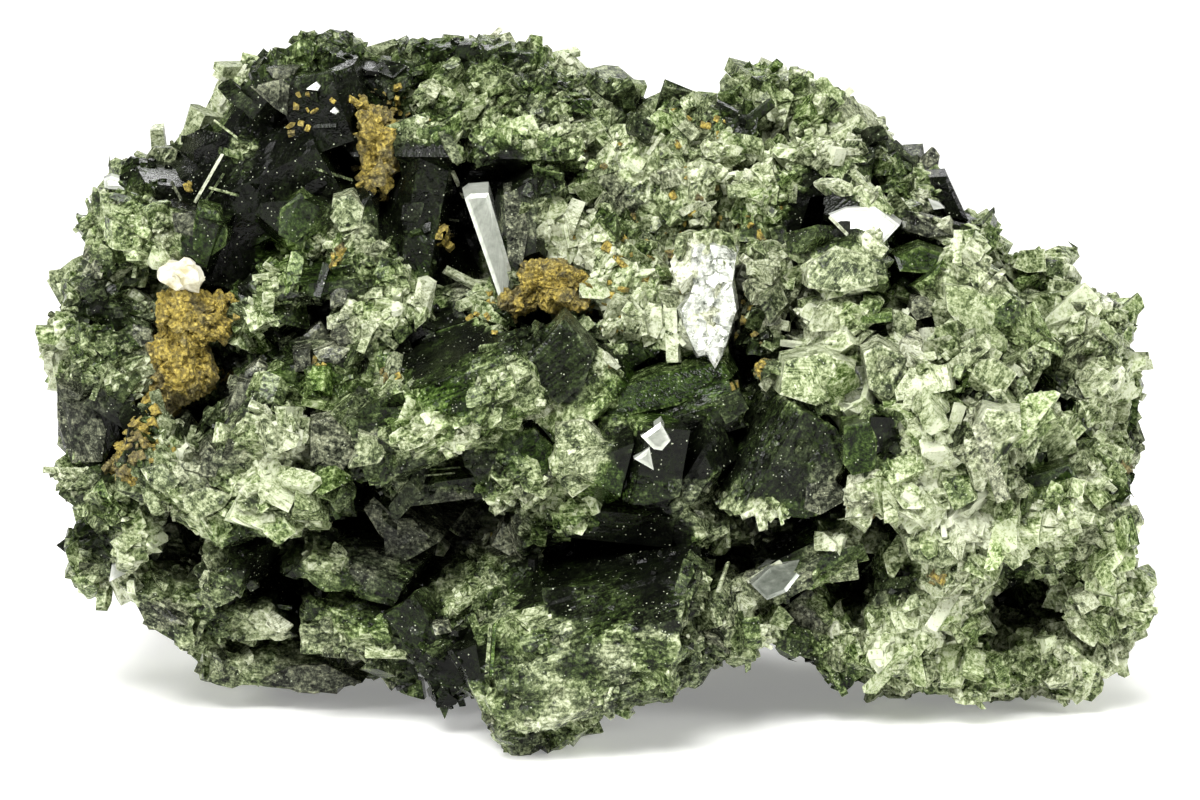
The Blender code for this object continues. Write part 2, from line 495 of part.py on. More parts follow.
def keep_outer_shell(obj):
    """Deletes the closed voids inside the cluster, which are shells of their own, and loose chips."""
    bm = bmesh.new()
    bm.from_mesh(obj.data)
    left, shells = set(bm.verts), []
    while left:
        shell, front = set(), [left.pop()]
        while front:
            vert = front.pop()
            shell.add(vert)
            for edge in vert.link_edges:
                other = edge.other_vert(vert)
                if other in left:
                    left.discard(other)
                    front.append(other)
        shells.append(shell)
    shells.sort(key=len)
    for shell in shells[:-1]:
        bmesh.ops.delete(bm, geom=list(shell), context="VERTS")
    bm.to_mesh(obj.data)
    bm.free()
    return len(shells)


def merge_close_corners(obj):
    """Merges the corners that crossing crystals leave very close together, where no face turns much."""
    bm = bmesh.new()
    bm.from_mesh(obj.data)
    bmesh.ops.triangulate(bm, faces=bm.faces)
    merged = 0
    for _ in range(MERGE_PASSES):
        busy, targets = set(), {}
        for edge in sorted(bm.edges, key=lambda item: item.calc_length()):
            if edge.calc_length() > MERGE_DISTANCE * MM:
                break
            for keep, drop in (edge.verts, reversed(edge.verts)):
                around = {face for face in drop.link_faces if keep not in face.verts}
                ring = {vert for face in drop.link_faces for vert in face.verts} | {keep}
                shared = {item.other_vert(keep) for item in keep.link_edges}
                shared &= {item.other_vert(drop) for item in drop.link_edges}
                if ring & busy or len(shared) != 2 or any(turns_over(face, drop, keep) for face in around):
                    continue
                targets[drop] = keep
                busy |= ring | {vert for face in keep.link_faces for vert in face.verts}
                break
        if not targets:
            break
        merged += len(targets)
        bmesh.ops.weld_verts(bm, targetmap=targets)
    bmesh.ops.dissolve_limit(bm, angle_limit=math.radians(0.05), verts=bm.verts, edges=bm.edges)
    bm.to_mesh(obj.data)
    bm.free()
    return merged


def turns_over(face, drop, keep):
    """Whether moving one corner of a triangle to another place turns it by more than the allowed angle."""
    before = [vert.co for vert in face.verts]
    after = [keep.co if vert is drop else vert.co for vert in face.verts]
    old = (before[1] - before[0]).cross(before[2] - before[0])
    new = (after[1] - after[0]).cross(after[2] - after[0])
    if new.length < 1e-12:
        return True
    return old.length > 1e-12 and old.angle(new) > MERGE_TURN


def material(name, colour, roughness):
    made = bpy.data.materials.new(name)
    made.use_nodes = True
    surface = made.node_tree.nodes["Principled BSDF"]
    surface.inputs["Base Color"].default_value = (*colour, 1.0)
    surface.inputs["Roughness"].default_value = roughness
    surface.inputs["Metallic"].default_value = 0.0
    return made


def small_piece(name, rows, rng):
    """A crust or chip, and the slightly larger copy of it that cuts its pocket."""
    lumps, grown_lumps = [], []
    for across, up, front, width, height, thick, lean, divided in rows:
        place = Matrix.Translation(seen(across, up, front + thick / 2))
        place = place @ Matrix.Rotation(math.radians(-lean), 4, "Y")
        bm = lump(width, height, thick, rng, LUMP_ROUGHNESS, divided)
        grown = bm.copy()
        for vert in grown.verts:
            vert.co += vert.co.normalized() * POCKET_GROWTH
        lumps.append(add_object(name, bm, place))
        grown_lumps.append(add_object("pocket", grown, place))
    for made in (lumps, grown_lumps):
        if len(made) > 1:
            join_with(made[0], made[1:], "UNION")
    return lumps[0], grown_lumps[0]


def main():
    clear_scene()
    rng = random.Random(12)
    cluster, *carriers = masses(rng)
    cluster.name = "epidote_cluster"
    join_with(cluster, carriers + front_crystals(rng) + back_crystals(rng), "UNION")

    small = [small_piece(name, rows, rng) for name, rows in SMALL_PIECES.items()]
    table_bm = bmesh.new()
    bmesh.ops.create_cube(table_bm, size=1.0)
    below = Matrix.Translation((0, 0, -TABLE_CUT / 2)) @ Matrix.Diagonal((200, 200, TABLE_CUT, 1))
    table = add_object("table", table_bm, below)
    join_with(cluster, [pocket for _, pocket in small] + [table], "DIFFERENCE")
    print("shells", keep_outer_shell(cluster), "merged corners", merge_close_corners(cluster))

    stone = material("epidote", (0.16, 0.22, 0.10), 0.45)
    ochre = material("limonite", (0.42, 0.22, 0.04), 0.9)
    chalk = material("white_mineral", (0.78, 0.78, 0.68), 0.5)
    cluster.data.materials.clear()
    cluster.data.materials.append(stone)
    for piece, _ in small:
        piece.data.materials.append(chalk if piece.name == "white_chip" else ochre)
    shift = Vector((*CENTRING, 0)) * MM
    cluster.data.transform(Matrix.Translation(shift))
    for piece, _ in small:
        # Each small piece has its origin in its middle.
        middle = sum((vert.co for vert in piece.data.vertices), Vector()) / len(piece.data.vertices)
        piece.data.transform(Matrix.Translation(-middle))
        piece.location = middle + shift


main()
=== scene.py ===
"""Rough epidote: the looks of a hand-sized cluster of intergrown crystals, with ochre crusts and a white chip.

Lengths are in millimetres until a mesh is finished, then metres. A place is given as the eye meets it from
the front: across and up in the plane of view, and its depth, which is negative towards the eye.
"""

import itertools
import math

import bmesh
import bpy
import numpy as np
from mathutils import Matrix, Vector
from mathutils.bvhtree import BVHTree
from mathutils.kdtree import KDTree


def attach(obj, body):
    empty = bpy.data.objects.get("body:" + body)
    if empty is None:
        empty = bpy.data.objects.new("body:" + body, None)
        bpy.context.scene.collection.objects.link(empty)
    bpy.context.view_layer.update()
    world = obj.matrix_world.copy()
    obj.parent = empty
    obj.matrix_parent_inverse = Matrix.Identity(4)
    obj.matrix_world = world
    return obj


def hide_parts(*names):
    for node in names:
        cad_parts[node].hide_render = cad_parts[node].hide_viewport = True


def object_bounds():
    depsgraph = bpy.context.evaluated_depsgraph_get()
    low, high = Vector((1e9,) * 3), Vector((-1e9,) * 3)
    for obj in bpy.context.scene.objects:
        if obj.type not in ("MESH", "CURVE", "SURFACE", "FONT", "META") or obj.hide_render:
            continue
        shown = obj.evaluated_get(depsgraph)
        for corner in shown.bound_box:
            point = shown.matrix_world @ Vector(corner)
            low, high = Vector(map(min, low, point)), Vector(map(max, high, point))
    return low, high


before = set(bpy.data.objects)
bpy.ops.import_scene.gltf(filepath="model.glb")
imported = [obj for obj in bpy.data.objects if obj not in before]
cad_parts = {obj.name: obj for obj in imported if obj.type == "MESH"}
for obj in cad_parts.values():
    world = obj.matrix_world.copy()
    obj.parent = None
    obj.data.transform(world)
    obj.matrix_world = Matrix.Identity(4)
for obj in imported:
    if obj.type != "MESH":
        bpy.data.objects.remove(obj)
cad_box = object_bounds()

MM = 0.001
LOW = np.array(cad_box[0]) / MM
HIGH = np.array(cad_box[1]) / MM

# The plane of view: the eye looks at the middle of the cluster from a little above. Sizes of the picture in pixels.
PICTURE_WIDTH, CLUSTER_MIDDLE, PIXELS_PER_MM = 1200, 592, 14.0
VIEW_ELEVATION = math.radians(10.0)
VIEW_DISTANCE = 335.0
VIEW_MIDDLE_UP = 21.2
SINE, COSINE = math.sin(VIEW_ELEVATION), math.cos(VIEW_ELEVATION)
CENTRING = Vector((-0.18, 0.17, 0.0))
EYE = Vector((0, -VIEW_DISTANCE * COSINE, VIEW_MIDDLE_UP / COSINE + VIEW_DISTANCE * SINE)) + CENTRING


def seen(across, up, depth):
    """The point that the eye meets at that place in the plane of view and at that depth."""
    rise = up - VIEW_MIDDLE_UP
    to_plane = VIEW_DISTANCE * COSINE
    share = (depth + to_plane) / (to_plane + rise * SINE)
    fall = -VIEW_DISTANCE * SINE + rise * COSINE
    return Vector((share * across, depth, EYE.z + share * fall)) + CENTRING


def plane_of(points):
    """Across and up, in the plane of view, of many points."""
    ray = points - np.array(EYE)
    reach = ray[:, 1] * COSINE - ray[:, 2] * SINE
    rise = ray[:, 1] * SINE + ray[:, 2] * COSINE
    return np.stack((ray[:, 0] * VIEW_DISTANCE / reach, rise * VIEW_DISTANCE / reach + VIEW_MIDDLE_UP), 1)


# ---------------------------------------------------------------- looks of the crystals by place

# Tone from black glass to pale frost, roughness of the break from flat to crumbly, and green from grey to vivid.
KINDS = {
    "black": (0.03, 0.04, 0.50),
    "dark": (0.20, 0.30, 0.52),
    "glass": (0.26, 0.08, 0.82),
    "vivid": (0.45, 0.40, 0.92),
    # slate and grey: the grey of glossy faces that mirror their bright surroundings, a painted reflection
    "slate": (0.40, 0.04, 0.06),
    "grey": (0.52, 0.10, 0.08),
    "green": (0.48, 0.62, 0.68),
    "sage": (0.45, 0.50, 0.44),
    "mist": (0.60, 0.38, 0.42),
    "pale": (0.69, 0.66, 0.60),
    "frost": (0.84, 0.85, 0.44),
    # white: a painted highlight on bright edges and a painted reflection on mirror faces
    "white": (1.00, 0.50, 0.15),
}
# Across, up, radius and kind.
PLACES = [
    # top ridge; (-10.4, 43.6) and (-12.0, 41.6) are green rather than pale, a painted shade for a top that takes less
    # light
    (-21.0, 46.0, 2.2, "green"), (-22.6, 45.0, 1.8, "dark"), (-17.9, 45.8, 1.8, "dark"), (-15.0, 46.6, 1.2, "vivid"),
    (-12.0, 46.2, 2.0, "dark"), (-9.4, 46.3, 1.4, "black"), (-5.9, 45.9, 2.0, "dark"), (-2.5, 45.0, 2.0, "dark"),
    (1.0, 43.5, 2.0, "dark"), (3.8, 42.8, 1.3, "vivid"), (-14.0, 44.2, 2.2, "dark"), (-10.4, 43.6, 2.6, "green"),
    (-7.0, 44.2, 2.6, "green"), (-3.2, 43.0, 2.6, "green"), (-0.4, 42.0, 2.4, "green"), (-12.0, 41.6, 2.0, "green"),
    (-9.4, 41.0, 2.0, "green"), (-6.0, 41.0, 2.0, "green"), (-2.4, 40.4, 1.8, "pale"),
    (-8.5, 45.0, 1.6, "dark"), (-4.5, 44.4, 1.4, "dark"), (-11.5, 42.8, 1.1, "dark"), (-6.5, 42.6, 1.1, "dark"),
    (-1.4, 43.6, 1.3, "dark"), (2.4, 41.0, 1.2, "dark"), (-16.2, 45.0, 1.2, "black"),
    # black prisms of the upper left
    (-25.6, 42.8, 1.8, "dark"), (-24.4, 44.8, 1.5, "dark"), (-27.4, 41.8, 1.5, "dark"), (-16.0, 36.0, 2.2, "black"),
    (-11.5, 36.4, 2.0, "black"), (-10.5, 31.6, 1.6, "black"), (-19.6, 41.2, 1.8, "black"), (-13.6, 32.6, 2.0, "black"),
    (-24.6, 29.8, 1.8, "black"), (-23.4, 33.6, 1.8, "black"), (-22.6, 37.6, 2.4, "black"), (-9.0, 36.6, 1.6, "black"),
    (-11.2, 24.6, 1.7, "dark"), (-21.5, 23.9, 1.3, "dark"), (-14.5, 25.4, 1.2, "dark"), (-6.6, 39.4, 1.2, "dark"),
    (-30.0, 38.6, 2.6, "black"), (-27.0, 40.0, 2.6, "black"), (-24.0, 41.4, 2.2, "black"), (-22.9, 43.0, 1.5, "slate"),
    (-18.6, 43.0, 2.4, "black"), (-21.0, 39.6, 3.0, "black"), (-18.0, 37.4, 3.0, "black"), (-14.4, 39.6, 2.0, "dark"),
    (-15.0, 43.0, 1.5, "dark"), (-25.0, 39.2, 1.5, "frost"), (-23.8, 40.0, 1.1, "pale"), (-26.6, 37.4, 1.6, "black"),
    (-24.4, 36.4, 2.4, "black"), (-27.6, 33.0, 2.0, "glass"), (-29.2, 33.9, 1.2, "slate"), (-25.2, 33.4, 1.8, "black"),
    (-26.2, 31.0, 1.6, "black"), (-28.6, 36.2, 1.4, "black"),
    # left edge
    # the frost at (-34.6, 36.8) lies under a mirror face: a painted glint
    (-32.0, 37.8, 2.0, "dark"), (-34.6, 36.8, 1.0, "frost"), (-35.6, 35.0, 1.5, "green"), (-35.0, 33.0, 1.8, "green"),
    (-32.4, 34.6, 1.5, "vivid"), (-31.0, 33.0, 1.8, "pale"), (-33.6, 31.8, 1.8, "green"), (-35.3, 30.8, 1.2, "grey"),
    (-33.4, 29.0, 1.8, "dark"), (-31.6, 28.6, 1.4, "pale"), (-33.8, 26.6, 1.8, "dark"), (-38.3, 25.5, 1.8, "pale"),
    (-36.4, 26.6, 1.3, "dark"), (-35.0, 24.4, 2.3, "green"), (-32.4, 26.0, 1.2, "grey"), (-33.0, 23.4, 1.7, "pale"),
    (-30.8, 25.0, 1.1, "grey"), (-36.5, 19.4, 2.5, "slate"), (-33.4, 19.0, 1.8, "black"), (-34.0, 15.9, 1.5, "dark"),
    (-34.6, 14.0, 2.0, "green"), (-37.6, 15.5, 1.2, "green"), (-36.8, 13.0, 1.5, "dark"), (-32.6, 12.2, 1.1, "pale"),
    # the frost at (-33.6, 9.0) is a painted glint
    (-35.6, 10.6, 1.6, "dark"), (-37.4, 9.4, 1.5, "green"), (-33.6, 9.0, 1.1, "frost"),
    # left of the middle
    (-21.2, 34.4, 2.0, "glass"), (-17.6, 34.6, 1.7, "mist"), (-19.5, 32.8, 1.2, "pale"), (-22.6, 31.5, 1.8, "vivid"),
    (-17.0, 32.0, 1.6, "mist"), (-15.0, 31.5, 1.4, "green"), (-18.4, 30.3, 1.5, "glass"), (-23.4, 29.0, 1.8, "pale"),
    (-21.6, 28.4, 1.4, "dark"), (-18.0, 29.0, 1.3, "slate"), (-16.0, 27.6, 2.0, "pale"), (-13.0, 28.4, 1.5, "pale"),
    (-19.6, 26.0, 1.3, "slate"), (-21.4, 27.0, 1.2, "pale"), (-22.6, 25.5, 1.4, "black"), (-24.6, 26.8, 1.5, "green"),
    (-18.6, 24.4, 1.4, "grey"), (-22.4, 23.2, 1.6, "vivid"), (-21.4, 22.2, 1.0, "pale"), (-25.6, 24.6, 1.4, "dark"),
    (-24.2, 22.8, 1.1, "grey"), (-25.0, 21.0, 1.3, "slate"), (-18.0, 21.5, 2.0, "vivid"), (-15.6, 23.4, 1.8, "green"),
    (-28.8, 21.5, 1.4, "green"), (-27.4, 19.6, 1.4, "dark"), (-30.5, 18.4, 1.5, "pale"), (-30.8, 15.8, 1.7, "mist"),
    (-27.6, 14.4, 1.8, "mist"), (-26.8, 17.4, 1.3, "grey"), (-24.0, 19.0, 1.6, "pale"), (-22.4, 17.2, 1.8, "frost"),
    (-17.8, 18.2, 2.1, "grey"), (-19.6, 15.8, 1.4, "pale"), (-23.0, 14.8, 2.0, "pale"), (-22.0, 12.9, 1.8, "frost"),
    (-27.4, 12.0, 1.5, "pale"), (-29.6, 10.8, 1.0, "pale"), (-25.0, 10.8, 1.7, "dark"), (-23.4, 9.0, 1.5, "black"),
    (-18.0, 14.0, 2.2, "dark"), (-19.0, 10.4, 1.9, "sage"), (-15.4, 9.4, 1.6, "slate"), (-13.0, 8.2, 1.4, "dark"),
    # low left
    (-26.5, 4.5, 1.8, "sage"), (-22.6, 4.6, 1.3, "mist"), (-30.2, 8.2, 1.3, "sage"), (-20.4, 3.4, 1.2, "mist"),
    (-25.4, 6.0, 1.1, "mist"),
    (-28.6, 8.9, 2.0, "sage"), (-25.3, 7.5, 1.3, "dark"), (-22.4, 7.2, 1.8, "dark"), (-24.0, 6.0, 1.2, "pale"),
    (-30.8, 6.2, 1.4, "grey"), (-27.4, 6.0, 1.5, "sage"), (-31.0, 4.2, 1.2, "dark"), (-28.6, 2.7, 1.5, "sage"),
    (-24.0, 3.6, 2.0, "mist"), (-20.6, 5.2, 0.9, "black"), (-18.0, 5.8, 1.8, "green"), (-15.0, 7.2, 2.2, "dark"),
    (-12.0, 6.0, 1.5, "dark"), (-20.0, 1.6, 2.6, "slate"), (-16.0, 3.0, 1.8, "sage"), (-13.4, 3.0, 1.5, "dark"),
    (-11.0, 1.2, 1.8, "dark"), (-9.2, 2.8, 1.6, "black"),
    # front foot
    (-4.5, 4.0, 1.8, "sage"), (-3.0, 2.4, 1.8, "sage"), (-2.0, -0.6, 2.2, "mist"), (-5.0, -2.2, 1.8, "sage"),
    (-6.6, -0.8, 1.4, "sage"), (-0.7, 2.4, 1.4, "dark"), (1.8, 3.2, 1.1, "mist"), (3.6, 4.2, 1.8, "sage"),
    (6.2, 2.0, 2.0, "sage"), (9.2, 4.6, 1.8, "sage"), (3.0, 0.2, 1.8, "sage"), (0.8, 6.6, 1.8, "dark"),
    (4.0, 7.6, 2.2, "black"), (7.6, 6.0, 1.4, "sage"), (-5.3, 5.5, 1.2, "pale"), (-7.6, 7.4, 1.8, "sage"),
    (-9.9, 7.2, 1.0, "pale"), (-4.6, 8.6, 1.8, "dark"), (-2.6, 7.6, 1.4, "black"),
    # middle
    (-13.0, 12.4, 1.7, "slate"), (-11.8, 11.6, 1.0, "grey"), (-9.5, 12.8, 1.4, "grey"), (-7.5, 11.8, 1.1, "pale"),
    (-6.0, 11.5, 1.2, "grey"), (-3.6, 12.8, 1.5, "green"), (-1.5, 13.4, 1.1, "pale"), (-12.4, 15.8, 1.4, "dark"),
    (-9.0, 15.8, 1.4, "dark"), (-5.9, 16.6, 1.4, "green"), (-4.2, 17.6, 1.4, "glass"), (-2.4, 16.0, 1.4, "pale"),
    (-0.5, 17.0, 1.5, "mist"), (-13.2, 19.0, 1.7, "pale"), (-10.4, 18.8, 1.5, "pale"), (-16.2, 21.2, 1.3, "dark"),
    (-15.0, 19.6, 1.0, "black"),
    (-19.8, 22.3, 1.0, "dark"), (-15.4, 17.0, 1.0, "dark"), (-13.4, 21.4, 1.5, "green"),
    (-10.4, 22.6, 1.5, "glass"), (-7.0, 21.5, 1.8, "green"), (-5.0, 21.4, 1.4, "mist"), (-9.4, 25.6, 1.8, "black"),
    (-12.6, 24.4, 1.8, "black"), (-7.3, 27.0, 0.9, "pale"), (-5.5, 26.4, 1.2, "dark"), (-2.2, 24.6, 1.7, "dark"),
    (-2.0, 22.6, 1.4, "dark"), (0.7, 23.8, 1.0, "pale"), (2.0, 24.6, 1.1, "black"), (4.0, 22.6, 2.0, "glass"),
    (7.6, 22.6, 1.8, "glass"), (1.4, 20.0, 1.5, "green"), (7.6, 21.0, 1.5, "dark"), (3.2, 17.5, 1.7, "black"),
    (7.5, 17.5, 2.3, "black"), (1.0, 15.0, 1.5, "glass"), (3.5, 14.4, 1.5, "dark"), (7.9, 13.6, 1.7, "mist"),
    # the black over the deep cleft at (3.0, 10.6) is partly the crystals' dark colour and partly painted shade
    (3.0, 10.6, 3.0, "black"), (-2.0, 11.2, 1.2, "black"),
    # crest of the middle
    (-11.0, 33.0, 1.7, "dark"), (-13.4, 34.6, 1.8, "dark"), (-11.5, 30.0, 1.4, "glass"), (-9.9, 29.3, 1.2, "grey"),
    # the black at (-9.4, 33.4) lies in a recess: partly the crystals' dark colour, partly painted shade
    (-9.4, 33.4, 1.3, "black"), (-5.2, 34.0, 1.3, "slate"), (-4.4, 31.0, 1.0, "black"), (-5.5, 37.6, 1.5, "black"),
    (-12.4, 38.6, 1.9, "black"), (-2.0, 38.4, 1.4, "dark"), (-1.0, 33.0, 1.2, "frost"), (-0.8, 36.0, 1.2, "green"),
    (0.6, 38.5, 1.8, "pale"), (1.6, 36.3, 1.2, "slate"), (3.6, 38.2, 1.8, "pale"), (6.0, 37.0, 1.8, "mist"),
    (5.5, 34.0, 2.0, "green"), (1.8, 34.0, 1.3, "green"), (4.0, 31.0, 1.8, "pale"), (1.0, 30.0, 1.8, "pale"),
    # the white at (8.2, 30.4) and (8.0, 27.2) lies under the foil face: painted reflection
    (-2.4, 32.4, 1.1, "frost"), (8.2, 30.4, 1.5, "white"), (8.0, 27.2, 1.7, "white"), (5.0, 26.6, 1.8, "pale"),
    (2.5, 28.0, 1.8, "pale"), (9.0, 36.0, 1.8, "pale"), (11.5, 33.4, 1.8, "green"), (9.5, 38.8, 1.5, "pale"),
    (10.8, 30.4, 0.9, "frost"), (12.3, 29.0, 1.2, "mist"), (13.0, 26.6, 1.4, "mist"), (11.8, 24.8, 1.3, "dark"),
    (12.2, 36.6, 1.4, "pale"),
    # peak of the right
    (11.5, 43.0, 1.7, "green"), (14.2, 43.8, 1.2, "dark"), (9.5, 42.0, 1.3, "dark"), (7.0, 41.6, 1.4, "green"),
    (10.3, 40.6, 1.2, "black"), (13.2, 41.2, 1.2, "pale"), (16.0, 42.0, 1.6, "green"), (11.8, 39.4, 1.2, "green"),
    (14.0, 38.3, 1.4, "green"), (17.0, 39.0, 1.8, "frost"), (18.5, 37.4, 1.3, "pale"), (19.5, 40.0, 1.3, "dark"),
    (22.6, 38.8, 1.3, "dark"), (21.6, 37.0, 1.4, "green"), (20.2, 36.8, 1.0, "black"), (16.6, 35.6, 1.9, "black"),
    # the frost at (24.0, 35.6) is a painted glint
    (15.5, 34.0, 1.6, "black"), (24.0, 35.6, 0.9, "frost"), (25.6, 36.0, 1.3, "black"), (26.6, 33.8, 1.3, "black"),
    (22.8, 34.9, 1.0, "dark"), (23.5, 33.7, 1.1, "grey"), (28.2, 34.3, 1.1, "pale"), (27.2, 32.2, 1.4, "green"),
    # the frost at (19.6, 34.0) lies under the bright slab: painted reflection
    (25.4, 31.8, 1.3, "frost"), (19.6, 34.0, 1.0, "frost"), (30.0, 31.0, 1.5, "pale"), (32.5, 31.0, 1.4, "green"),
    # right body
    (31.5, 22.9, 1.1, "pale"), (34.8, 19.2, 1.2, "pale"), (30.6, 25.0, 1.2, "pale"), (31.6, 5.6, 1.6, "pale"),
    (34.2, 6.2, 1.3, "pale"), (29.6, 4.2, 1.2, "pale"), (35.0, 10.0, 1.2, "pale"), (13.8, 29.6, 1.2, "pale"),
    (16.4, 30.2, 1.9, "pale"), (19.5, 31.6, 1.3, "mist"), (18.0, 33.0, 1.2, "dark"), (20.8, 30.2, 0.8, "black"),
    (23.5, 31.0, 1.5, "glass"), (17.5, 28.4, 1.5, "pale"), (20.0, 27.2, 1.1, "vivid"), (17.4, 26.4, 1.4, "pale"),
    (19.6, 25.6, 1.2, "grey"), (22.6, 28.6, 0.9, "pale"), (24.0, 27.6, 1.0, "grey"), (23.0, 26.2, 0.9, "frost"),
    (27.0, 28.0, 2.0, "pale"), (28.0, 26.0, 1.8, "pale"), (29.2, 29.6, 1.5, "mist"), (32.4, 26.6, 1.2, "green"),
    (33.8, 26.2, 0.9, "frost"), (36.0, 28.0, 1.3, "mist"), (37.0, 26.0, 1.4, "green"), (15.6, 23.0, 1.8, "pale"),
    (18.0, 22.0, 1.7, "pale"), (21.0, 23.6, 1.7, "mist"), (23.8, 22.0, 1.2, "frost"), (26.0, 22.2, 0.9, "glass"),
    (26.6, 24.6, 1.4, "pale"), (29.5, 23.4, 1.1, "black"), (33.0, 24.2, 1.2, "green"), (36.0, 23.4, 1.7, "pale"),
    (36.6, 21.0, 1.4, "pale"), (38.6, 20.5, 1.0, "glass"), (33.6, 20.8, 1.6, "glass"), (32.7, 22.0, 0.9, "grey"),
    (13.4, 18.2, 2.8, "dark"), (12.0, 15.4, 1.8, "dark"), (17.0, 15.3, 1.4, "slate"), (18.8, 17.4, 1.4, "glass"),
    (21.2, 19.0, 0.9, "black"), (23.5, 18.4, 1.5, "pale"), (25.5, 19.6, 1.4, "pale"), (29.0, 19.0, 1.5, "frost"),
    (31.3, 18.4, 1.4, "pale"), (27.6, 17.0, 1.5, "mist"), (26.0, 16.4, 1.4, "green"), (32.5, 16.3, 1.4, "glass"),
    (30.2, 16.8, 0.7, "black"), (22.0, 15.0, 1.4, "pale"), (24.2, 16.0, 1.2, "frost"), (19.5, 14.4, 0.9, "frost"),
    (12.3, 12.6, 1.2, "frost"), (14.6, 11.0, 1.4, "black"), (26.6, 12.8, 1.8, "frost"), (30.0, 12.8, 1.7, "pale"),
    (33.5, 13.0, 1.8, "pale"), (36.5, 12.0, 1.8, "pale"), (35.6, 16.2, 1.4, "pale"), (37.3, 15.0, 1.0, "glass"),
    (36.0, 8.0, 2.3, "pale"), (38.3, 7.4, 1.4, "pale"), (37.0, 4.2, 1.9, "pale"), (32.0, 9.0, 1.3, "green"),
    (30.2, 8.0, 0.9, "black"), (34.3, 8.7, 0.8, "black"), (33.0, 3.4, 1.4, "pale"),
    # low right
    (24.6, 11.0, 1.4, "pale"), (19.5, 11.4, 1.3, "pale"), (16.5, 11.4, 1.4, "green"), (12.5, 8.0, 1.2, "grey"),
    (15.0, 8.8, 1.1, "grey"), (10.5, 8.0, 1.1, "mist"), (12.0, 6.3, 1.2, "mist"), (15.0, 5.4, 1.3, "grey"),
    (15.4, 3.6, 1.4, "dark"), (17.0, 7.5, 1.5, "vivid"), (20.0, 8.8, 1.5, "dark"), (22.3, 8.0, 0.9, "dark"),
    (25.5, 8.0, 1.5, "pale"), (28.0, 6.8, 1.2, "pale"), (21.0, 5.0, 1.8, "pale"), (18.0, 4.0, 1.4, "pale"),
    (24.0, 4.0, 1.7, "pale"), (21.5, 2.2, 1.4, "pale"), (18.2, 0.8, 1.2, "glass"), (28.4, 3.2, 1.5, "green"),
    (29.5, 1.0, 1.4, "green"), (32.0, 1.4, 1.2, "pale"), (35.5, 2.2, 1.4, "pale"),
]
# The way the crystals run there: across, up and lean from the level, in degrees.
RUNS = [
    (-27, 40, 58), (-19, 39, 75), (-12, 35, 103), (-5, 34, 103), (-15, 9, -15), (-9, 16, 8), (-8, 21, 30),
    (6, 22, 15), (3, 11, 3), (4, 4, 9), (13, 18, 48), (18, 17, 98), (21, 4, 92), (29, 5, 92), (20, 10, 33),
    (25, 30, -14), (17, 26, 62), (-24, 4, -5), (-29, 8, -16), (-22, 16, -35), (-36, 19, 100), (-33, 25, 20),
    (-17, 29, 25), (-8, 43, 40), (5, 33, 70), (14, 40, 35), (30, 20, 60), (35, 12, 110), (-2, 24, 50),
]
# How the pieces break there: across, up, reach, share of loose pieces and their size.
BREAKS = [
    (0, 1.5, 7.5, 0.12, 0.8), (-24, 4, 8, 0.22, 0.9), (-29, 9, 3.5, 0.5, 0.9), (-15, 9, 5, 0.12, 0.8),
    (4, 17, 6, 0.2, 0.8),
    (13.5, 18, 3.5, 0.15, 0.8), (28, 22, 9, 1.0, 1.4), (20, 28, 5.5, 1.0, 1.35), (35, 9, 5, 0.9, 1.2),
    (23, 5, 6, 0.5, 1.1),
    (-7, 44, 8, 0.9, 0.85), (4, 34, 6, 0.55, 1.0), (-34, 30, 7, 0.9, 0.9), (-22, 20, 7, 1.0, 1.15),
    (-8, 21, 5, 0.35, 0.9),
    (12, 11, 4, 0.4, 0.8), (14, 40, 5, 0.8, 0.9), (27, 32, 4, 0.7, 1.0),
]
# Away from the front the crystals are mixed: the middle of their tone, roughness and green, and the spread.
ELSEWHERE = np.array((0.55, 0.62, 0.6))
ELSEWHERE_SPREAD = np.array((0.55, 0.5, 0.45))


def hashed(corner, seed, count):
    """Random numbers from 0 to 1 that belong to the corners of a grid."""
    mixed = corner[:, 0] * 73856093 ^ corner[:, 1] * 19349663 ^ corner[:, 2] * 83492791 ^ seed * 2654435761
    columns = []
    for _ in range(count):
        mixed = (mixed * 1103515245 + 12345) & 0x7FFFFFFFFFFF
        mixed ^= mixed >> 17
        columns.append((mixed & 0xFFFFFF) / 0xFFFFFF)
    return np.stack(columns, 1)


def cells(points, size, seed):
    """For each point the nearest grain of that size: the way from its middle, six numbers of its own, and how
    much nearer it is than the next grain."""
    base = np.floor(points / size).astype(np.int64)
    best = np.full(len(points), 1e9)
    second = np.full(len(points), 1e9)
    away = np.zeros_like(points)
    own = np.zeros((len(points), 6))
    for shift in itertools.product((-1, 0, 1), repeat=3):
        numbers = hashed(base + shift, seed, 9)
        offset = points - (base + shift + 0.15 + 0.7 * numbers[:, :3]) * size
        far = (offset**2).sum(1)
        nearer = far < best
        second = np.where(nearer, best, np.minimum(second, far))
        best[nearer] = far[nearer]
        away[nearer] = offset[nearer]
        own[nearer] = numbers[nearer, 3:]
    return away, own, np.sqrt(second) - np.sqrt(best)


def tilted(points, size, seed):
    """Height of small flat breaks, each tipped its own way: from about -0.5 to 0.5 of the grain size."""
    away, own, _ = cells(points, size, seed)
    tip = own[:, :3] - 0.5
    tip /= np.linalg.norm(tip, axis=1)[:, None] + 1e-9
    return (away * tip).sum(1) / size


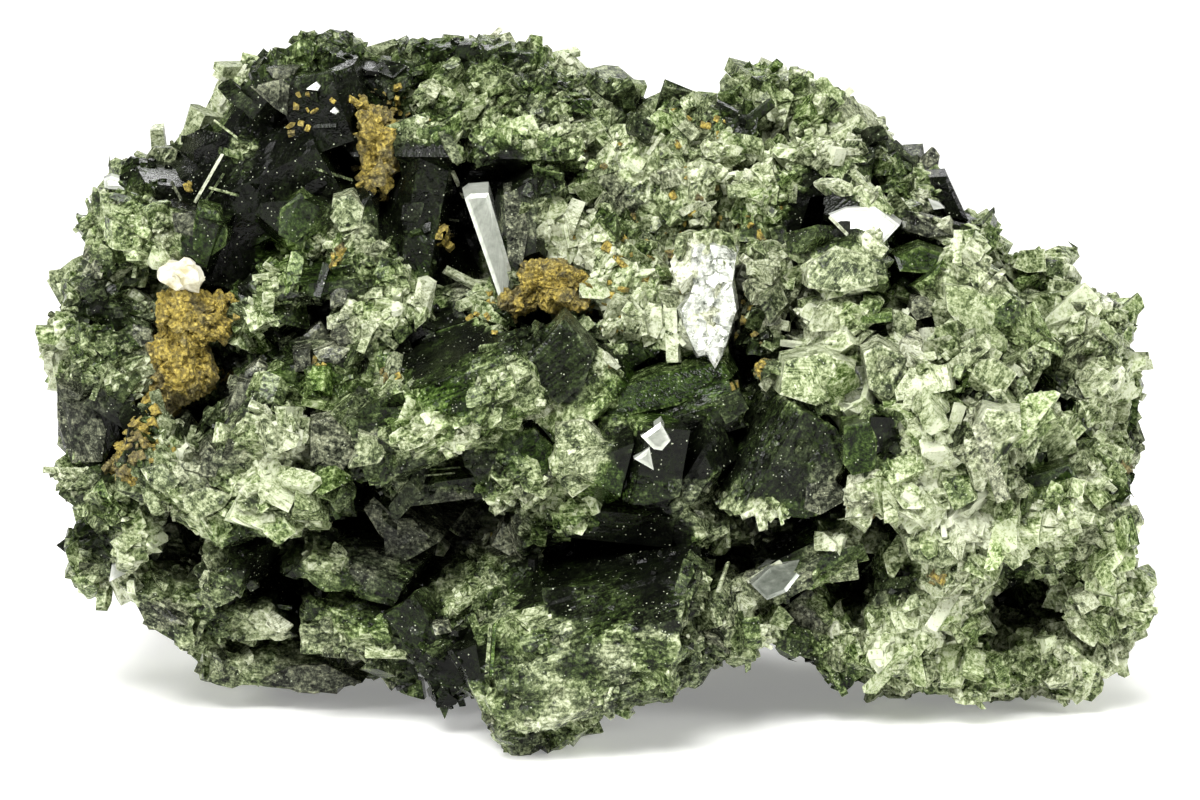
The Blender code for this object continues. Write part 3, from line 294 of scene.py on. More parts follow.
def looks_at(points, facing):
    """Tone, roughness and green at many points, whose normals are facing."""
    where = plane_of(points)
    spread = (cells(points, 4.5, 3)[1][:, :3] - 0.5) * ELSEWHERE_SPREAD
    total = ELSEWHERE * 0.02 + spread * 0.02
    weight = np.full(len(points), 0.02)
    for across, up, radius, kind in PLACES:
        far = ((where[:, 0] - across) ** 2 + (where[:, 1] - up) ** 2) / radius**2
        near = np.flatnonzero(far < 9)
        share = np.exp(-1.6 * far[near])
        weight[near] += share
        total[near] += share[:, None] * np.array(KINDS[kind])
    front = total / weight[:, None]
    away = ELSEWHERE + spread + (cells(points, 9.0, 5)[1][:, :3] - 0.5) * ELSEWHERE_SPREAD
    share = np.clip((points[:, 1] - 3.0) / 5.0, 0, 1)
    share = np.maximum(share, np.clip((facing[:, 1] - 0.25) / 0.4, 0, 1))[:, None]
    return front * (1 - share) + away * share


def runs_at(points):
    """The crystals' long direction at many points."""
    where = plane_of(points)
    far = np.stack([np.hypot(where[:, 0] - row[0], where[:, 1] - row[1]) for row in RUNS], 1)
    lean = np.radians(np.array([row[2] for row in RUNS])[far.argmin(1)])
    own = cells(points, 6.0, 13)[1]
    lean = lean + (own[:, 0] - 0.5) * 0.5 + np.where(points[:, 1] > 4, (own[:, 1] - 0.5) * 6, 0)
    axis = np.stack((np.cos(lean), (own[:, 2] - 0.5) * 0.6, np.sin(lean)), 1)
    return axis / np.linalg.norm(axis, axis=1)[:, None]


# ---------------------------------------------------------------- tools of the bench


def show_only(obj):
    bpy.ops.object.select_all(action="DESELECT")
    obj.select_set(True)
    bpy.context.view_layer.objects.active = obj


def edit(obj, domain="VERT"):
    show_only(obj)
    bpy.ops.object.mode_set(mode="EDIT")
    bpy.ops.mesh.select_mode(type=domain)


def edit_all(obj, domain="VERT"):
    """Edit mode from the stored mesh with all of it selected, so that an operator meets it the same way each run."""
    edit(obj, domain)
    bpy.ops.mesh.select_all(action="SELECT")


def finish_edit():
    bpy.ops.object.mode_set(mode="OBJECT")
    return bpy.context.active_object


def numbers_of(items, field, width, kind=float):
    """A field of many vertices, edges or faces as an array."""
    values = np.zeros(len(items) * width, kind)
    items.foreach_get(field, values)
    return values.reshape(-1, width) if width > 1 else values


def skin_normals(mesh):
    """Normals of the vertices of a mesh of triangles, each triangle weighted by its angle there. Blender's own differ
    in the last digit from run to run, since it adds them up in parallel."""
    points = numbers_of(mesh.vertices, "co", 3)
    corners = numbers_of(mesh.polygons, "vertices", 3, int)
    facing = numbers_of(mesh.polygons, "normal", 3)
    total = np.zeros_like(points)
    for i in range(3):
        here, after, before = (points[corners[:, (i + step) % 3]] for step in range(3))
        sides = np.linalg.norm(after - here, axis=1) * np.linalg.norm(before - here, axis=1)
        share = ((after - here) * (before - here)).sum(1) / np.maximum(sides, 1e-18)
        np.add.at(total, corners[:, i], facing * np.arccos(np.clip(share, -1, 1))[:, None])
    return total / np.maximum(np.linalg.norm(total, axis=1), 1e-9)[:, None]


def give(obj, name, values):
    """Stores one number for each vertex, for a material to read."""
    attribute = obj.data.attributes.get(name) or obj.data.attributes.new(name, "FLOAT", "POINT")
    attribute.data.foreach_set("value", values.astype(np.float32))


def give_direction(obj, name, values):
    attribute = obj.data.attributes.get(name) or obj.data.attributes.new(name, "FLOAT_VECTOR", "POINT")
    attribute.data.foreach_set("vector", values.astype(np.float32).ravel())


def mesh_object(name, vertices, faces):
    """A new object from arrays, with its place in its mesh."""
    mesh = bpy.data.meshes.new(name)
    mesh.vertices.add(len(vertices))
    mesh.vertices.foreach_set("co", vertices.astype(np.float32).ravel())
    mesh.loops.add(faces.size)
    mesh.loops.foreach_set("vertex_index", faces.astype(np.int32).ravel())
    mesh.polygons.add(len(faces))
    mesh.polygons.foreach_set("loop_start", np.arange(0, faces.size, faces.shape[1], dtype=np.int32))
    mesh.polygons.foreach_set("use_smooth", np.zeros(len(faces), bool))
    mesh.update(calc_edges=True)
    obj = bpy.data.objects.new(name, mesh)
    bpy.context.scene.collection.objects.link(obj)
    return obj


def finished(obj, slot, *materials):
    """Gives a piece its materials and its body; nothing of it reaches past the solids. The slot is not used."""
    inside = np.clip(numbers_of(obj.data.vertices, "co", 3), LOW * MM, HIGH * MM)
    obj.data.vertices.foreach_set("co", inside.astype(np.float32).ravel())
    obj.data.update()
    obj.data.materials.clear()
    for item in materials:
        obj.data.materials.append(item)
    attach(obj, "root")
    return obj


# ---------------------------------------------------------------- materials


def linear(colour):
    """sRGB hex to linear red, green, blue and 1."""
    parts = [int(colour[i : i + 2], 16) / 255 for i in (1, 3, 5)]
    return (*[part / 12.92 if part <= 0.04045 else ((part + 0.055) / 1.055) ** 2.4 for part in parts], 1.0)


def add(tree, kind, values=(), links=(), stops=(), **settings):
    """One node with its settings, its socket values, the sockets that feed it and, on a ramp, its stops."""
    node = tree.nodes.new("ShaderNode" + kind)
    for name, value in settings.items():
        setattr(node, name, value)
    for name, value in dict(values).items():
        node.inputs[name].default_value = value
    for name, source in dict(links).items():
        tree.links.new(source, node.inputs[name])
    for _ in stops[2:]:
        node.color_ramp.elements.new(0.5)
    for i, (place, colour) in enumerate(stops):
        element = node.color_ramp.elements[i]
        element.position = place
        element.color = linear(colour) if isinstance(colour, str) else (colour, colour, colour, 1.0)
    return node


def new_material(name):
    made = bpy.data.materials.new(name)
    made.use_nodes = True
    made.node_tree.nodes.clear()
    return made, made.node_tree


def surface(tree, values, links):
    shader = add(tree, "BsdfPrincipled", values, links)
    add(tree, "OutputMaterial", {}, {"Surface": shader.outputs[0]})


def growth_lines(tree, place, stretch, values):
    """Fine lines that run along the crystal: a noise that hardly changes in that direction."""
    along = add(tree, "Attribute", attribute_name="along").outputs["Vector"]
    reach = add(tree, "VectorMath", {}, {0: place, 1: along}, operation="DOT_PRODUCT").outputs["Value"]
    reach = add(tree, "Math", {1: stretch}, {0: reach}, operation="MULTIPLY").outputs[0]
    shortened = add(tree, "VectorMath", {}, {0: along, "Scale": reach}, operation="SCALE").outputs[0]
    crosswise = add(tree, "VectorMath", {}, {0: place, 1: shortened}, operation="SUBTRACT").outputs[0]
    return add(tree, "TexNoise", values, {"Vector": crosswise}).outputs["Fac"]


def broken_epidote():
    """Natural epidote as it grew and broke: bottle-green to black where it is thick and clean, frosted pale where
    it is crushed into fine cleavage. A glassy lustre on every flat break."""
    made, tree = new_material("broken_epidote")
    place = add(tree, "TexCoord").outputs["Object"]
    tone, rough, green, recess_shade = (
        add(tree, "Attribute", attribute_name=name).outputs["Fac"] for name in ("tone", "rough", "green", "recess_shade")
    )
    # Growth lines 0.25 mm wide, about sixteen times as long as wide.
    lines = growth_lines(tree, place, 0.94, {"Scale": 3600.0, "Detail": 1.0, "Roughness": 0.7})
    # Cloudy mottling about 2.5 mm wide, crushed grain of 0.2 mm, and cleavage flakes of 0.7 and 0.28 mm.
    clouds = add(tree, "TexNoise", {"Scale": 400.0, "Detail": 2.0, "Roughness": 0.65}, {"Vector": place}).outputs["Fac"]
    grain = add(tree, "TexNoise", {"Scale": 4400.0, "Detail": 1.0, "Roughness": 0.9}, {"Vector": place}).outputs["Fac"]
    flakes = add(tree, "TexVoronoi", {"Scale": 1400.0, "Randomness": 1.0}, {"Vector": place})
    sugar = add(tree, "TexVoronoi", {"Scale": 3600.0, "Randomness": 1.0}, {"Vector": place})
    flake_own, sugar_own = (
        add(tree, "SeparateColor", {}, {"Color": texture.outputs["Color"]}).outputs for texture in (flakes, sugar)
    )
    # How far each of them takes the tone up or down. Clean glass hardly varies: the spread grows with the tone.
    spreads = ((clouds, 0.55), (flake_own["Red"], 0.24), (grain, 0.85), (lines, 0.8), (sugar_own["Red"], 0.3))
    level = add(tree, "Value")
    level.outputs[0].default_value = -sum(gain for _, gain in spreads) / 2
    shade = level.outputs[0]
    for source, gain in spreads:
        shade = add(tree, "Math", {1: gain}, {0: source, 2: shade}, operation="MULTIPLY_ADD").outputs[0]
    gain = add(tree, "MapRange", {"From Min": 0.0, "From Max": 0.55, "To Min": 0.3, "To Max": 1.0}, {"Value": tone})
    shade = add(tree, "Math", {}, {0: shade, 1: gain.outputs["Result"], 2: tone}, operation="MULTIPLY_ADD").outputs[0]
    shade = add(tree, "Math", {1: 0.88, 2: 0.03}, {0: shade}, operation="MULTIPLY_ADD", use_clamp=True).outputs[0]
    # The same seven depths of shade in dull, olive and vivid green.
    depths = (0.0, 0.18, 0.34, 0.5, 0.66, 0.82, 1.0)
    dull, olive, vivid = (
        add(tree, "ValToRGB", {}, {"Fac": shade}, tuple(zip(depths, colours.split()))).outputs["Color"]
        for colours in (
            "#060605 #151612 #2e3028 #57594b #81836c #a9ac94 #cccfba",
            "#050604 #12170b #283318 #4e5b35 #7e8a60 #a8b18a #c5cbae",
            "#050702 #111b07 #26390f #465b26 #73894a #a1b07b #c5cea6",
        )
    )
    colour = dull
    for low, high, greener in ((0.0, 0.6, olive), (0.6, 1.0, vivid)):
        part = add(tree, "MapRange", {"From Min": low, "From Max": high}, {"Value": green}).outputs["Result"]
        links = {"Factor": part, "A": colour, "B": greener}
        colour = add(tree, "Mix", {}, links, data_type="RGBA").outputs["Result"]
    # White crumbs of 0.1 mm and a few larger ones lie on every face, also on the black ones.
    for texture, own, wide, kept_over in ((sugar, sugar_own, 0.26, 0.35), (flakes, flake_own, 0.13, 0.65)):
        reach = add(tree, "Math", {1: wide, 2: -0.05}, {0: own["Green"]}, operation="MULTIPLY_ADD").outputs[0]
        links = {0: texture.outputs["Distance"], 1: reach}
        speck = add(tree, "Math", {}, links, operation="LESS_THAN").outputs[0]
        kept = add(tree, "Math", {1: kept_over}, {0: own["Blue"]}, operation="GREATER_THAN").outputs[0]
        speck = add(tree, "Math", {}, {0: speck, 1: kept}, operation="MULTIPLY").outputs[0]
        speck = add(tree, "Math", {1: 0.6}, {0: speck}, operation="MULTIPLY").outputs[0]
        links = {"Factor": speck, "A": colour}
        colour = add(tree, "Mix", {"B": linear("#c2c8ae")}, links, data_type="RGBA").outputs["Result"]
    # Painted shade: the colour darkens where the skin is closed in by its neighbours, to nearly black in the deepest
    # clefts.
    painted_recess_shade = add(tree, "ValToRGB", {}, {"Fac": recess_shade}, ((0.4, 1.0), (0.75, 0.35), (1.0, 0.06))).outputs["Color"]
    links = {"A": colour, "B": painted_recess_shade}
    colour = add(tree, "Mix", {"Factor": 1.0}, links, data_type="RGBA", blend_type="MULTIPLY").outputs["Result"]

    # Each flake is a small mirror of its own tilt: on crushed faces they sparkle, on grown faces they hardly tilt.
    limits = {"From Min": 0.15, "From Max": 0.8, "To Min": 0.02, "To Max": 0.55}
    tilt = add(tree, "MapRange", limits, {"Value": rough}).outputs["Result"]
    normal = add(tree, "NewGeometry").outputs["Normal"]
    for texture in (flakes, sugar):
        links = {0: texture.outputs["Color"]}
        off = add(tree, "VectorMath", {1: (0.5, 0.5, 0.5)}, links, operation="SUBTRACT").outputs[0]
        off = add(tree, "VectorMath", {}, {0: off, "Scale": tilt}, operation="SCALE").outputs[0]
        normal = add(tree, "VectorMath", {}, {0: normal, 1: off}, operation="ADD").outputs[0]
    normal = add(tree, "VectorMath", {}, {0: normal}, operation="NORMALIZE").outputs[0]
    # Growth lines stand a few micrometres high; crushed grain about 0.1 mm.
    height = add(tree, "Math", {}, {0: lines, 1: grain}, operation="ADD").outputs[0]
    limits = {"From Min": 0.05, "From Max": 0.8, "To Min": 0.3, "To Max": 0.65}
    strength = add(tree, "MapRange", limits, {"Value": rough}).outputs["Result"]
    bump = add(tree, "Bump", {"Distance": 0.00012}, {"Strength": strength, "Height": height, "Normal": normal})
    # Polished on grown faces, duller on crushed ones, and uneven with the clouds by up to 0.15 either way.
    gloss = add(tree, "MapRange", {"To Min": 0.14 - 0.15, "To Max": 0.4 - 0.15}, {"Value": rough}).outputs["Result"]
    gloss = add(tree, "Math", {1: 0.3}, {0: clouds, 2: gloss}, operation="MULTIPLY_ADD").outputs[0]
    surface(tree, {"IOR": 1.73, "Specular IOR Level": 0.075},
            {"Base Color": colour, "Roughness": gloss, "Normal": bump.outputs[0]})
    return made


def earthy_limonite():
    """Limonite: an earthy crust of fine ochre grains that settled in the pockets, dull and dusty."""
    made, tree = new_material("earthy_limonite")
    place = add(tree, "TexCoord").outputs["Object"]
    # Patches 2 mm wide from olive-grey to ochre, and the grains of 0.3 mm with dark gaps between them.
    patches = add(tree, "TexNoise", {"Scale": 420.0, "Detail": 4.0, "Roughness": 0.65}, {"Vector": place})
    grain = add(tree, "TexVoronoi", {"Scale": 2800.0}, {"Vector": place}).outputs["Distance"]
    fine = add(tree, "TexNoise", {"Scale": 5200.0, "Detail": 2.0, "Roughness": 0.7}, {"Vector": place}).outputs["Fac"]
    stops = ((0.3, "#463d14"), (0.44, "#877628"), (0.55, "#a3903a"), (0.7, "#c2b05c"))
    ochre = add(tree, "ValToRGB", {}, {"Fac": fine}, stops).outputs["Color"]
    stops = ((0.3, "#2c2612"), (0.5, "#645a2c"), (0.7, "#938a58"))
    dull = add(tree, "ValToRGB", {}, {"Fac": fine}, stops).outputs["Color"]
    part = add(tree, "ValToRGB", {}, {"Fac": patches.outputs["Fac"]}, ((0.4, 0.0), (0.52, 1.0))).outputs["Color"]
    colour = add(tree, "Mix", {}, {"Factor": part, "A": dull, "B": ochre}, data_type="RGBA").outputs["Result"]
    gap = add(tree, "ValToRGB", {}, {"Fac": grain}, ((0.4, 1.0), (0.8, 0.5))).outputs["Color"]
    links = {"A": colour, "B": gap}
    colour = add(tree, "Mix", {"Factor": 1.0}, links, data_type="RGBA", blend_type="MULTIPLY").outputs["Result"]
    bump = add(tree, "Bump", {"Strength": 0.9, "Distance": 0.0002}, {"Height": grain}, invert=True)
    surface(tree, {"IOR": 1.6, "Roughness": 0.8}, {"Base Color": colour, "Normal": bump.outputs[0]})
    return made


def mirror_cleavage():
    """A fresh cleavage face that mirrors the lamps: glossy, and silvery by a painted reflection in its colour, with
    fine growth lines and a few dark cracks.
    """
    made, tree = new_material("mirror_cleavage")
    place = add(tree, "TexCoord").outputs["Object"]
    tone, rough = (add(tree, "Attribute", attribute_name=name).outputs["Fac"] for name in ("tone", "rough"))
    # Growth lines 0.3 mm wide along the face, and the crinkles of a torn face, about 1 mm wide.
    lines = growth_lines(tree, place, 0.95, {"Scale": 3000.0, "Detail": 2.0, "Roughness": 0.6})
    grain = add(tree, "TexNoise", {"Scale": 1300.0, "Detail": 5.0, "Roughness": 0.75}, {"Vector": place}).outputs["Fac"]
    slight = add(tree, "Math", {1: 0.3, 2: -0.15}, {0: lines}, operation="MULTIPLY_ADD").outputs[0]
    deep = add(tree, "Math", {1: 2.6, 2: -1.3}, {0: grain}, operation="MULTIPLY_ADD").outputs[0]
    mixed = add(tree, "Math", {}, {0: deep, 1: rough, 2: slight}, operation="MULTIPLY_ADD").outputs[0]
    mixed = add(tree, "Math", {}, {0: mixed, 1: tone}, operation="ADD").outputs[0]
    # The pale silver end of these stops is painted reflection.
    stops = ((0.2, "#20241c"), (0.45, "#6d7268"), (0.7, "#b4b8ac"), (1.0, "#eef0e8"))
    colour = add(tree, "ValToRGB", {}, {"Fac": mixed}, stops).outputs["Color"]
    bump = add(tree, "Bump", {"Strength": 0.25, "Distance": 0.0001}, {"Height": mixed})
    surface(tree, {"IOR": 1.73, "Roughness": 0.18, "Metallic": 0.35}, {"Base Color": colour, "Normal": bump.outputs[0]})
    return made


def waxy_white_chip():
    """A chip of white mineral, waxy on its cleavage and stained a little by the ochre."""
    made, tree = new_material("waxy_white_chip")
    place = add(tree, "TexCoord").outputs["Object"]
    clouds = add(tree, "TexNoise", {"Scale": 900.0, "Detail": 4.0, "Roughness": 0.6}, {"Vector": place}).outputs["Fac"]
    stops = ((0.35, "#a39a74"), (0.47, "#cfcbb4"), (0.6, "#e4e1d2"))
    colour = add(tree, "ValToRGB", {}, {"Fac": clouds}, stops).outputs["Color"]
    bump = add(tree, "Bump", {"Strength": 0.3, "Distance": 0.0001}, {"Height": clouds})
    surface(tree, {"IOR": 1.55, "Roughness": 0.35}, {"Base Color": colour, "Normal": bump.outputs[0]})
    return made


def matt_white_board():
    made, tree = new_material("matt_white_board")
    surface(tree, {"Base Color": linear("#f4f4f1"), "Roughness": 0.9, "Emission Color": linear("#ffffff"),
                   "Emission Strength": 0.25}, {})
    return made


# ---------------------------------------------------------------- the grown body

# Longest edge, in millimetres, where the eye in front meets the surface, elsewhere outside, and in hidden clefts.
FINE, MEDIUM, COARSE = 0.64, 1.2, 3.2


def body_copy():
    """A merged copy of the cluster's solid, in even triangles."""
    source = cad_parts["epidote_cluster"]
    obj = bpy.data.objects.new("epidote_body", source.data.copy())
    bpy.context.scene.collection.objects.link(obj)
    edit_all(obj)
    bpy.ops.mesh.remove_doubles(threshold=1e-7)
    finish_edit()
    edit_all(obj)
    bpy.ops.mesh.dissolve_limited(angle_limit=math.radians(0.3))
    finish_edit()
    edit_all(obj)
    bpy.ops.mesh.quads_convert_to_tris(quad_method="BEAUTY", ngon_method="BEAUTY")
    finish_edit()
    return obj


def sharp_edges(obj):
    """Points along the crystals' outward edges, 0.4 mm apart, in millimetres."""
    bm = bmesh.new()
    bm.from_mesh(obj.data)
    points = []
    for edge in bm.edges:
        if len(edge.link_faces) == 2 and edge.is_convex and edge.calc_face_angle() > math.radians(25):
            start, end = (vert.co / MM for vert in edge.verts)
            steps = max(1, int((end - start).length / 0.4))
            points += [start.lerp(end, (i + 0.5) / steps) for i in range(steps)]
    bm.free()
    return points


def free_rays(count):
    """Directions spread evenly round a ball."""
    turn = math.pi * (3 - math.sqrt(5))
    rows = []
    for i in range(count):
        z = 1 - 2 * (i + 0.5) / count
        wide = math.sqrt(1 - z * z)
        rows.append(Vector((math.cos(turn * i) * wide, math.sin(turn * i) * wide, z)))
    return rows


# What stands farther off than this, in millimetres, doesn't close a place in.
NEAR = 14.0


def openness(obj, tree):
    """For each vertex: 2 if the eye in front meets it, 1 if it is open to some side, 0 in a hidden cleft; and how
    closed in it is, from 0 to 1, which the material paints as shade."""
    points = numbers_of(obj.data.vertices, "co", 3) / MM
    normals = skin_normals(obj.data)
    rays = free_rays(40)
    shown, closed = np.zeros(len(points)), np.zeros(len(points))
    for i, (point, normal) in enumerate(zip(points, normals)):
        start, up = Vector(point + normal * 0.06), Vector(normal)
        blocked = total = 0.0
        for ray in rays:
            share = ray.dot(up)
            if share > 0.15:
                total += share
                hit = tree.ray_cast(start, ray, NEAR)
                if hit[0] is not None:
                    blocked += share * (1.0 - 0.5 * hit[3] / NEAR)
        closed[i] = blocked / total
        to_eye = (EYE - start).normalized()
        if to_eye.dot(up) > -0.1 and tree.ray_cast(start, to_eye)[0] is None:
            shown[i] = 2
        elif closed[i] < 0.82:
            shown[i] = 1
    return shown, closed


def divide_long_edges(obj, fine, medium, coarse, rounds):
    """Halves edges that are longer than their place allows, and evens the triangles out."""
    for _ in range(rounds):
        mesh = obj.data
        points = numbers_of(mesh.vertices, "co", 3) / MM
        ends = numbers_of(mesh.edges, "vertices", 2, int)
        shown = np.zeros(len(mesh.vertices), np.float32)
        mesh.attributes["shown"].data.foreach_get("value", shown)
        share = shown[ends].max(1)
        limit = np.where(share > 1.2, fine, np.where(share > 0.3, medium, coarse))
        pick = np.linalg.norm(points[ends[:, 0]] - points[ends[:, 1]], axis=1) > limit
        if pick.sum() < len(pick) * 0.002:
            break
        mesh.vertices.foreach_set("select", np.zeros(len(mesh.vertices), bool))
        mesh.polygons.foreach_set("select", np.zeros(len(mesh.polygons), bool))
        mesh.edges.foreach_set("select", pick)
        edit(obj, "EDGE")
        bpy.ops.mesh.subdivide(number_cuts=1)
        finish_edit()
        edit_all(obj, "EDGE")
        bpy.ops.mesh.quads_convert_to_tris(quad_method="BEAUTY", ngon_method="BEAUTY")
        finish_edit()
        edit_all(obj, "EDGE")
        bpy.ops.mesh.beautify_fill(angle_limit=math.radians(2))
        finish_edit()


def rim_of(points, edges, reach):
    """1 on a crystal's outward edge, falling to 0 at that reach."""
    tree = KDTree(len(edges))
    for i, point in enumerate(edges):
        tree.insert(point, i)
    tree.balance()
    far = np.array([tree.find(point)[2] for point in points])
    return np.clip(1 - far / reach, 0, 1)


def grown_body():
    """The intergrown crystals in one skin, broken and crumbled where they are pale, flat where they are glassy."""
    obj = body_copy()
    edges = sharp_edges(obj)
    bm = bmesh.new()
    bm.from_mesh(obj.data)
    bmesh.ops.scale(bm, vec=(1 / MM,) * 3, verts=bm.verts)
    tree = BVHTree.FromBMesh(bm)
    bm.free()
    give(obj, "shown", np.full(len(obj.data.vertices), 1.0))
    divide_long_edges(obj, 2.4, 2.4, 2.4, 4)
    shown, closed = openness(obj, tree)
    give(obj, "shown", shown)
    # How closed in each vertex is, kept for the material's painted shade of recesses.
    give(obj, "recess_shade", closed)
    divide_long_edges(obj, FINE, MEDIUM, COARSE, 6)

    points = numbers_of(obj.data.vertices, "co", 3) / MM
    normals = skin_normals(obj.data)
    looks = looks_at(points - 0.9 * cells(points, 1.7, 17)[0], normals)
    rim = rim_of(points, edges, 0.9)
    tone, rough, green = looks.T
    # Crystals 3 mm wide differ from their neighbours, also within a zone; a painted highlight makes their rims and the
    # crystals' outward edges paler where they are crushed.
    _, own, border = cells(points, 2.9, 11)
    crushed = np.clip((rough - 0.2) / 0.35, 0, 1)
    painted_rim_highlight = np.clip(1 - np.abs(border - 0.5) / 0.5, 0, 1) * crushed
    tone = tone + (own[:, 0] - 0.5) * (0.1 + 0.22 * rough) + 0.12 * rim * crushed + 0.07 * painted_rim_highlight
    green = np.clip(green + (own[:, 1] - 0.5) * 0.3, 0, 1)
    tip = own[:, 2:5] - 0.5
    flat = (cells(points, 2.9, 11)[0] * tip).sum(1) * 0.55
    along = runs_at(points)
    crosswise = points - along * (points * along).sum(1)[:, None] * 0.7
    lift = crushed * (flat + 0.55 * tilted(crosswise, 1.25, 8) - 0.25 * np.clip(1 - border / 0.35, 0, 1) - 0.1 * rim)
    moved = points + normals * lift[:, None]
    moved = np.clip(moved, LOW + 0.01, HIGH - 0.01)
    low = points[:, 2] < 0.02
    moved[low] = points[low]
    obj.data.vertices.foreach_set("co", (moved * MM).astype(np.float32).ravel())
    obj.data.update()
    give(obj, "tone", tone)
    give(obj, "rough", rough)
    give(obj, "green", green)
    give_direction(obj, "along", runs_at(moved))
    obj.data.polygons.foreach_set("use_smooth", np.zeros(len(obj.data.polygons), bool))
    return obj, tree


# ---------------------------------------------------------------- crystals one by one


def cut_with(point, normal):
    """Cuts the piece in edit mode by a plane and closes it; what lies beyond the plane goes."""
    bpy.ops.mesh.select_all(action="SELECT")
    bpy.ops.mesh.bisect(plane_co=point, plane_no=normal, use_fill=True, clear_outer=True)


def start_cube(name, size):
    bpy.ops.object.select_all(action="DESELECT")
    bpy.ops.mesh.primitive_cube_add(size=1.0)
    obj = bpy.context.active_object
    obj.name = name
    bpy.ops.object.mode_set(mode="EDIT")
    bpy.ops.mesh.select_mode(type="FACE")
    bpy.ops.mesh.select_all(action="SELECT")
    bpy.ops.transform.resize(value=size)
    return obj


def to_triangles(obj):
    """Ends edit mode and returns the mesh as arrays; the object goes."""
    bpy.ops.mesh.select_all(action="SELECT")
    bpy.ops.mesh.quads_convert_to_tris(quad_method="BEAUTY", ngon_method="BEAUTY")
    bpy.ops.mesh.normals_make_consistent(inside=False)
    finish_edit()
    vertices = numbers_of(obj.data.vertices, "co", 3)
    faces = numbers_of(obj.data.polygons, "vertices", 3, int)
    bpy.data.objects.remove(obj)
    return vertices, faces


# Broken pieces: size, and how many breaks each has. Blocks, plates and prisms as the cleavage leaves them.
BLOCKS = [
    ((1.7, 1.3, 0.8), 5), ((1.5, 1.4, 0.7), 4), ((2.0, 1.1, 0.7), 5), ((1.4, 1.2, 1.0), 4), ((2.3, 1.0, 0.8), 4),
    ((1.8, 1.5, 0.6), 5), ((1.6, 1.1, 0.9), 5), ((2.6, 0.9, 0.7), 4), ((1.5, 1.3, 0.8), 6),
]
CHIPS = [
    ((1.5, 1.2, 0.4), 3), ((1.7, 1.0, 0.35), 3), ((2.6, 0.6, 0.5), 2), ((2.3, 0.45, 0.4), 2), ((1.2, 1.1, 0.9), 3),
    ((1.4, 0.9, 0.7), 3), ((1.6, 1.4, 0.3), 4), ((1.8, 0.7, 0.6), 3),
]
# A crumb has one break: it is too small for more faces to show.
CRUMBS = [((1.2, 0.9, 0.7), 1), ((1.5, 0.7, 0.6), 1), ((1.0, 1.0, 0.5), 1), ((1.1, 0.8, 0.8), 1)]


def breaks(size, count, rng):
    """Break planes that take the corners and ends off a piece of that size: mostly steep to its flat sides."""
    planes = []
    for _ in range(count):
        turn = rng.uniform(0, 2 * math.pi)
        normal = Vector((math.cos(turn) / size[0], math.sin(turn) / size[1], rng.normal(0, 0.45) / size[2])).normalized()
        reach = math.sqrt(sum((part * side) ** 2 for part, side in zip(normal, size))) / 2
        planes.append((normal * reach * rng.uniform(0.6, 0.95), normal))
    return planes


def broken_shapes(rows, rng, rim_width=0.0):
    """Vertices, triangles and, for each vertex, 1 on a piece's own edge or 0 within one of its faces."""
    shapes = []
    for size, count in rows:
        obj = start_cube("chip", size)
        for point, normal in breaks(size, count, rng):
            cut_with(point, normal)
        finish_edit()
        corners = numbers_of(obj.data.vertices, "co", 3)
        edit(obj, "FACE")
        bpy.ops.mesh.select_all(action="SELECT")
        if rim_width:
            bpy.ops.mesh.inset(thickness=rim_width, use_individual=True)
        vertices, triangles = to_triangles(obj)
        on_edge = np.abs(vertices[:, None] - corners[None]).sum(2).min(1) < 1e-5
        shapes.append((vertices, triangles, on_edge.astype(float)))
    return shapes


def turns(axis, spin):
    """Rotations whose third axis is the one given, and whose first axis lies round it by the spin."""
    axis = axis / np.linalg.norm(axis, axis=1)[:, None]
    helper = np.where(np.abs(axis[:, 2:3]) < 0.8, np.array([[0.0, 0.0, 1.0]]), np.array([[1.0, 0.0, 0.0]]))
    side = np.cross(helper, axis)
    side /= np.linalg.norm(side, axis=1)[:, None]
    first = side * np.cos(spin)[:, None] + np.cross(axis, side) * np.sin(spin)[:, None]
    return np.stack((first, np.cross(axis, first), axis), 2)


# How much neighbouring pieces differ in tone.
CONTRAST = 0.14


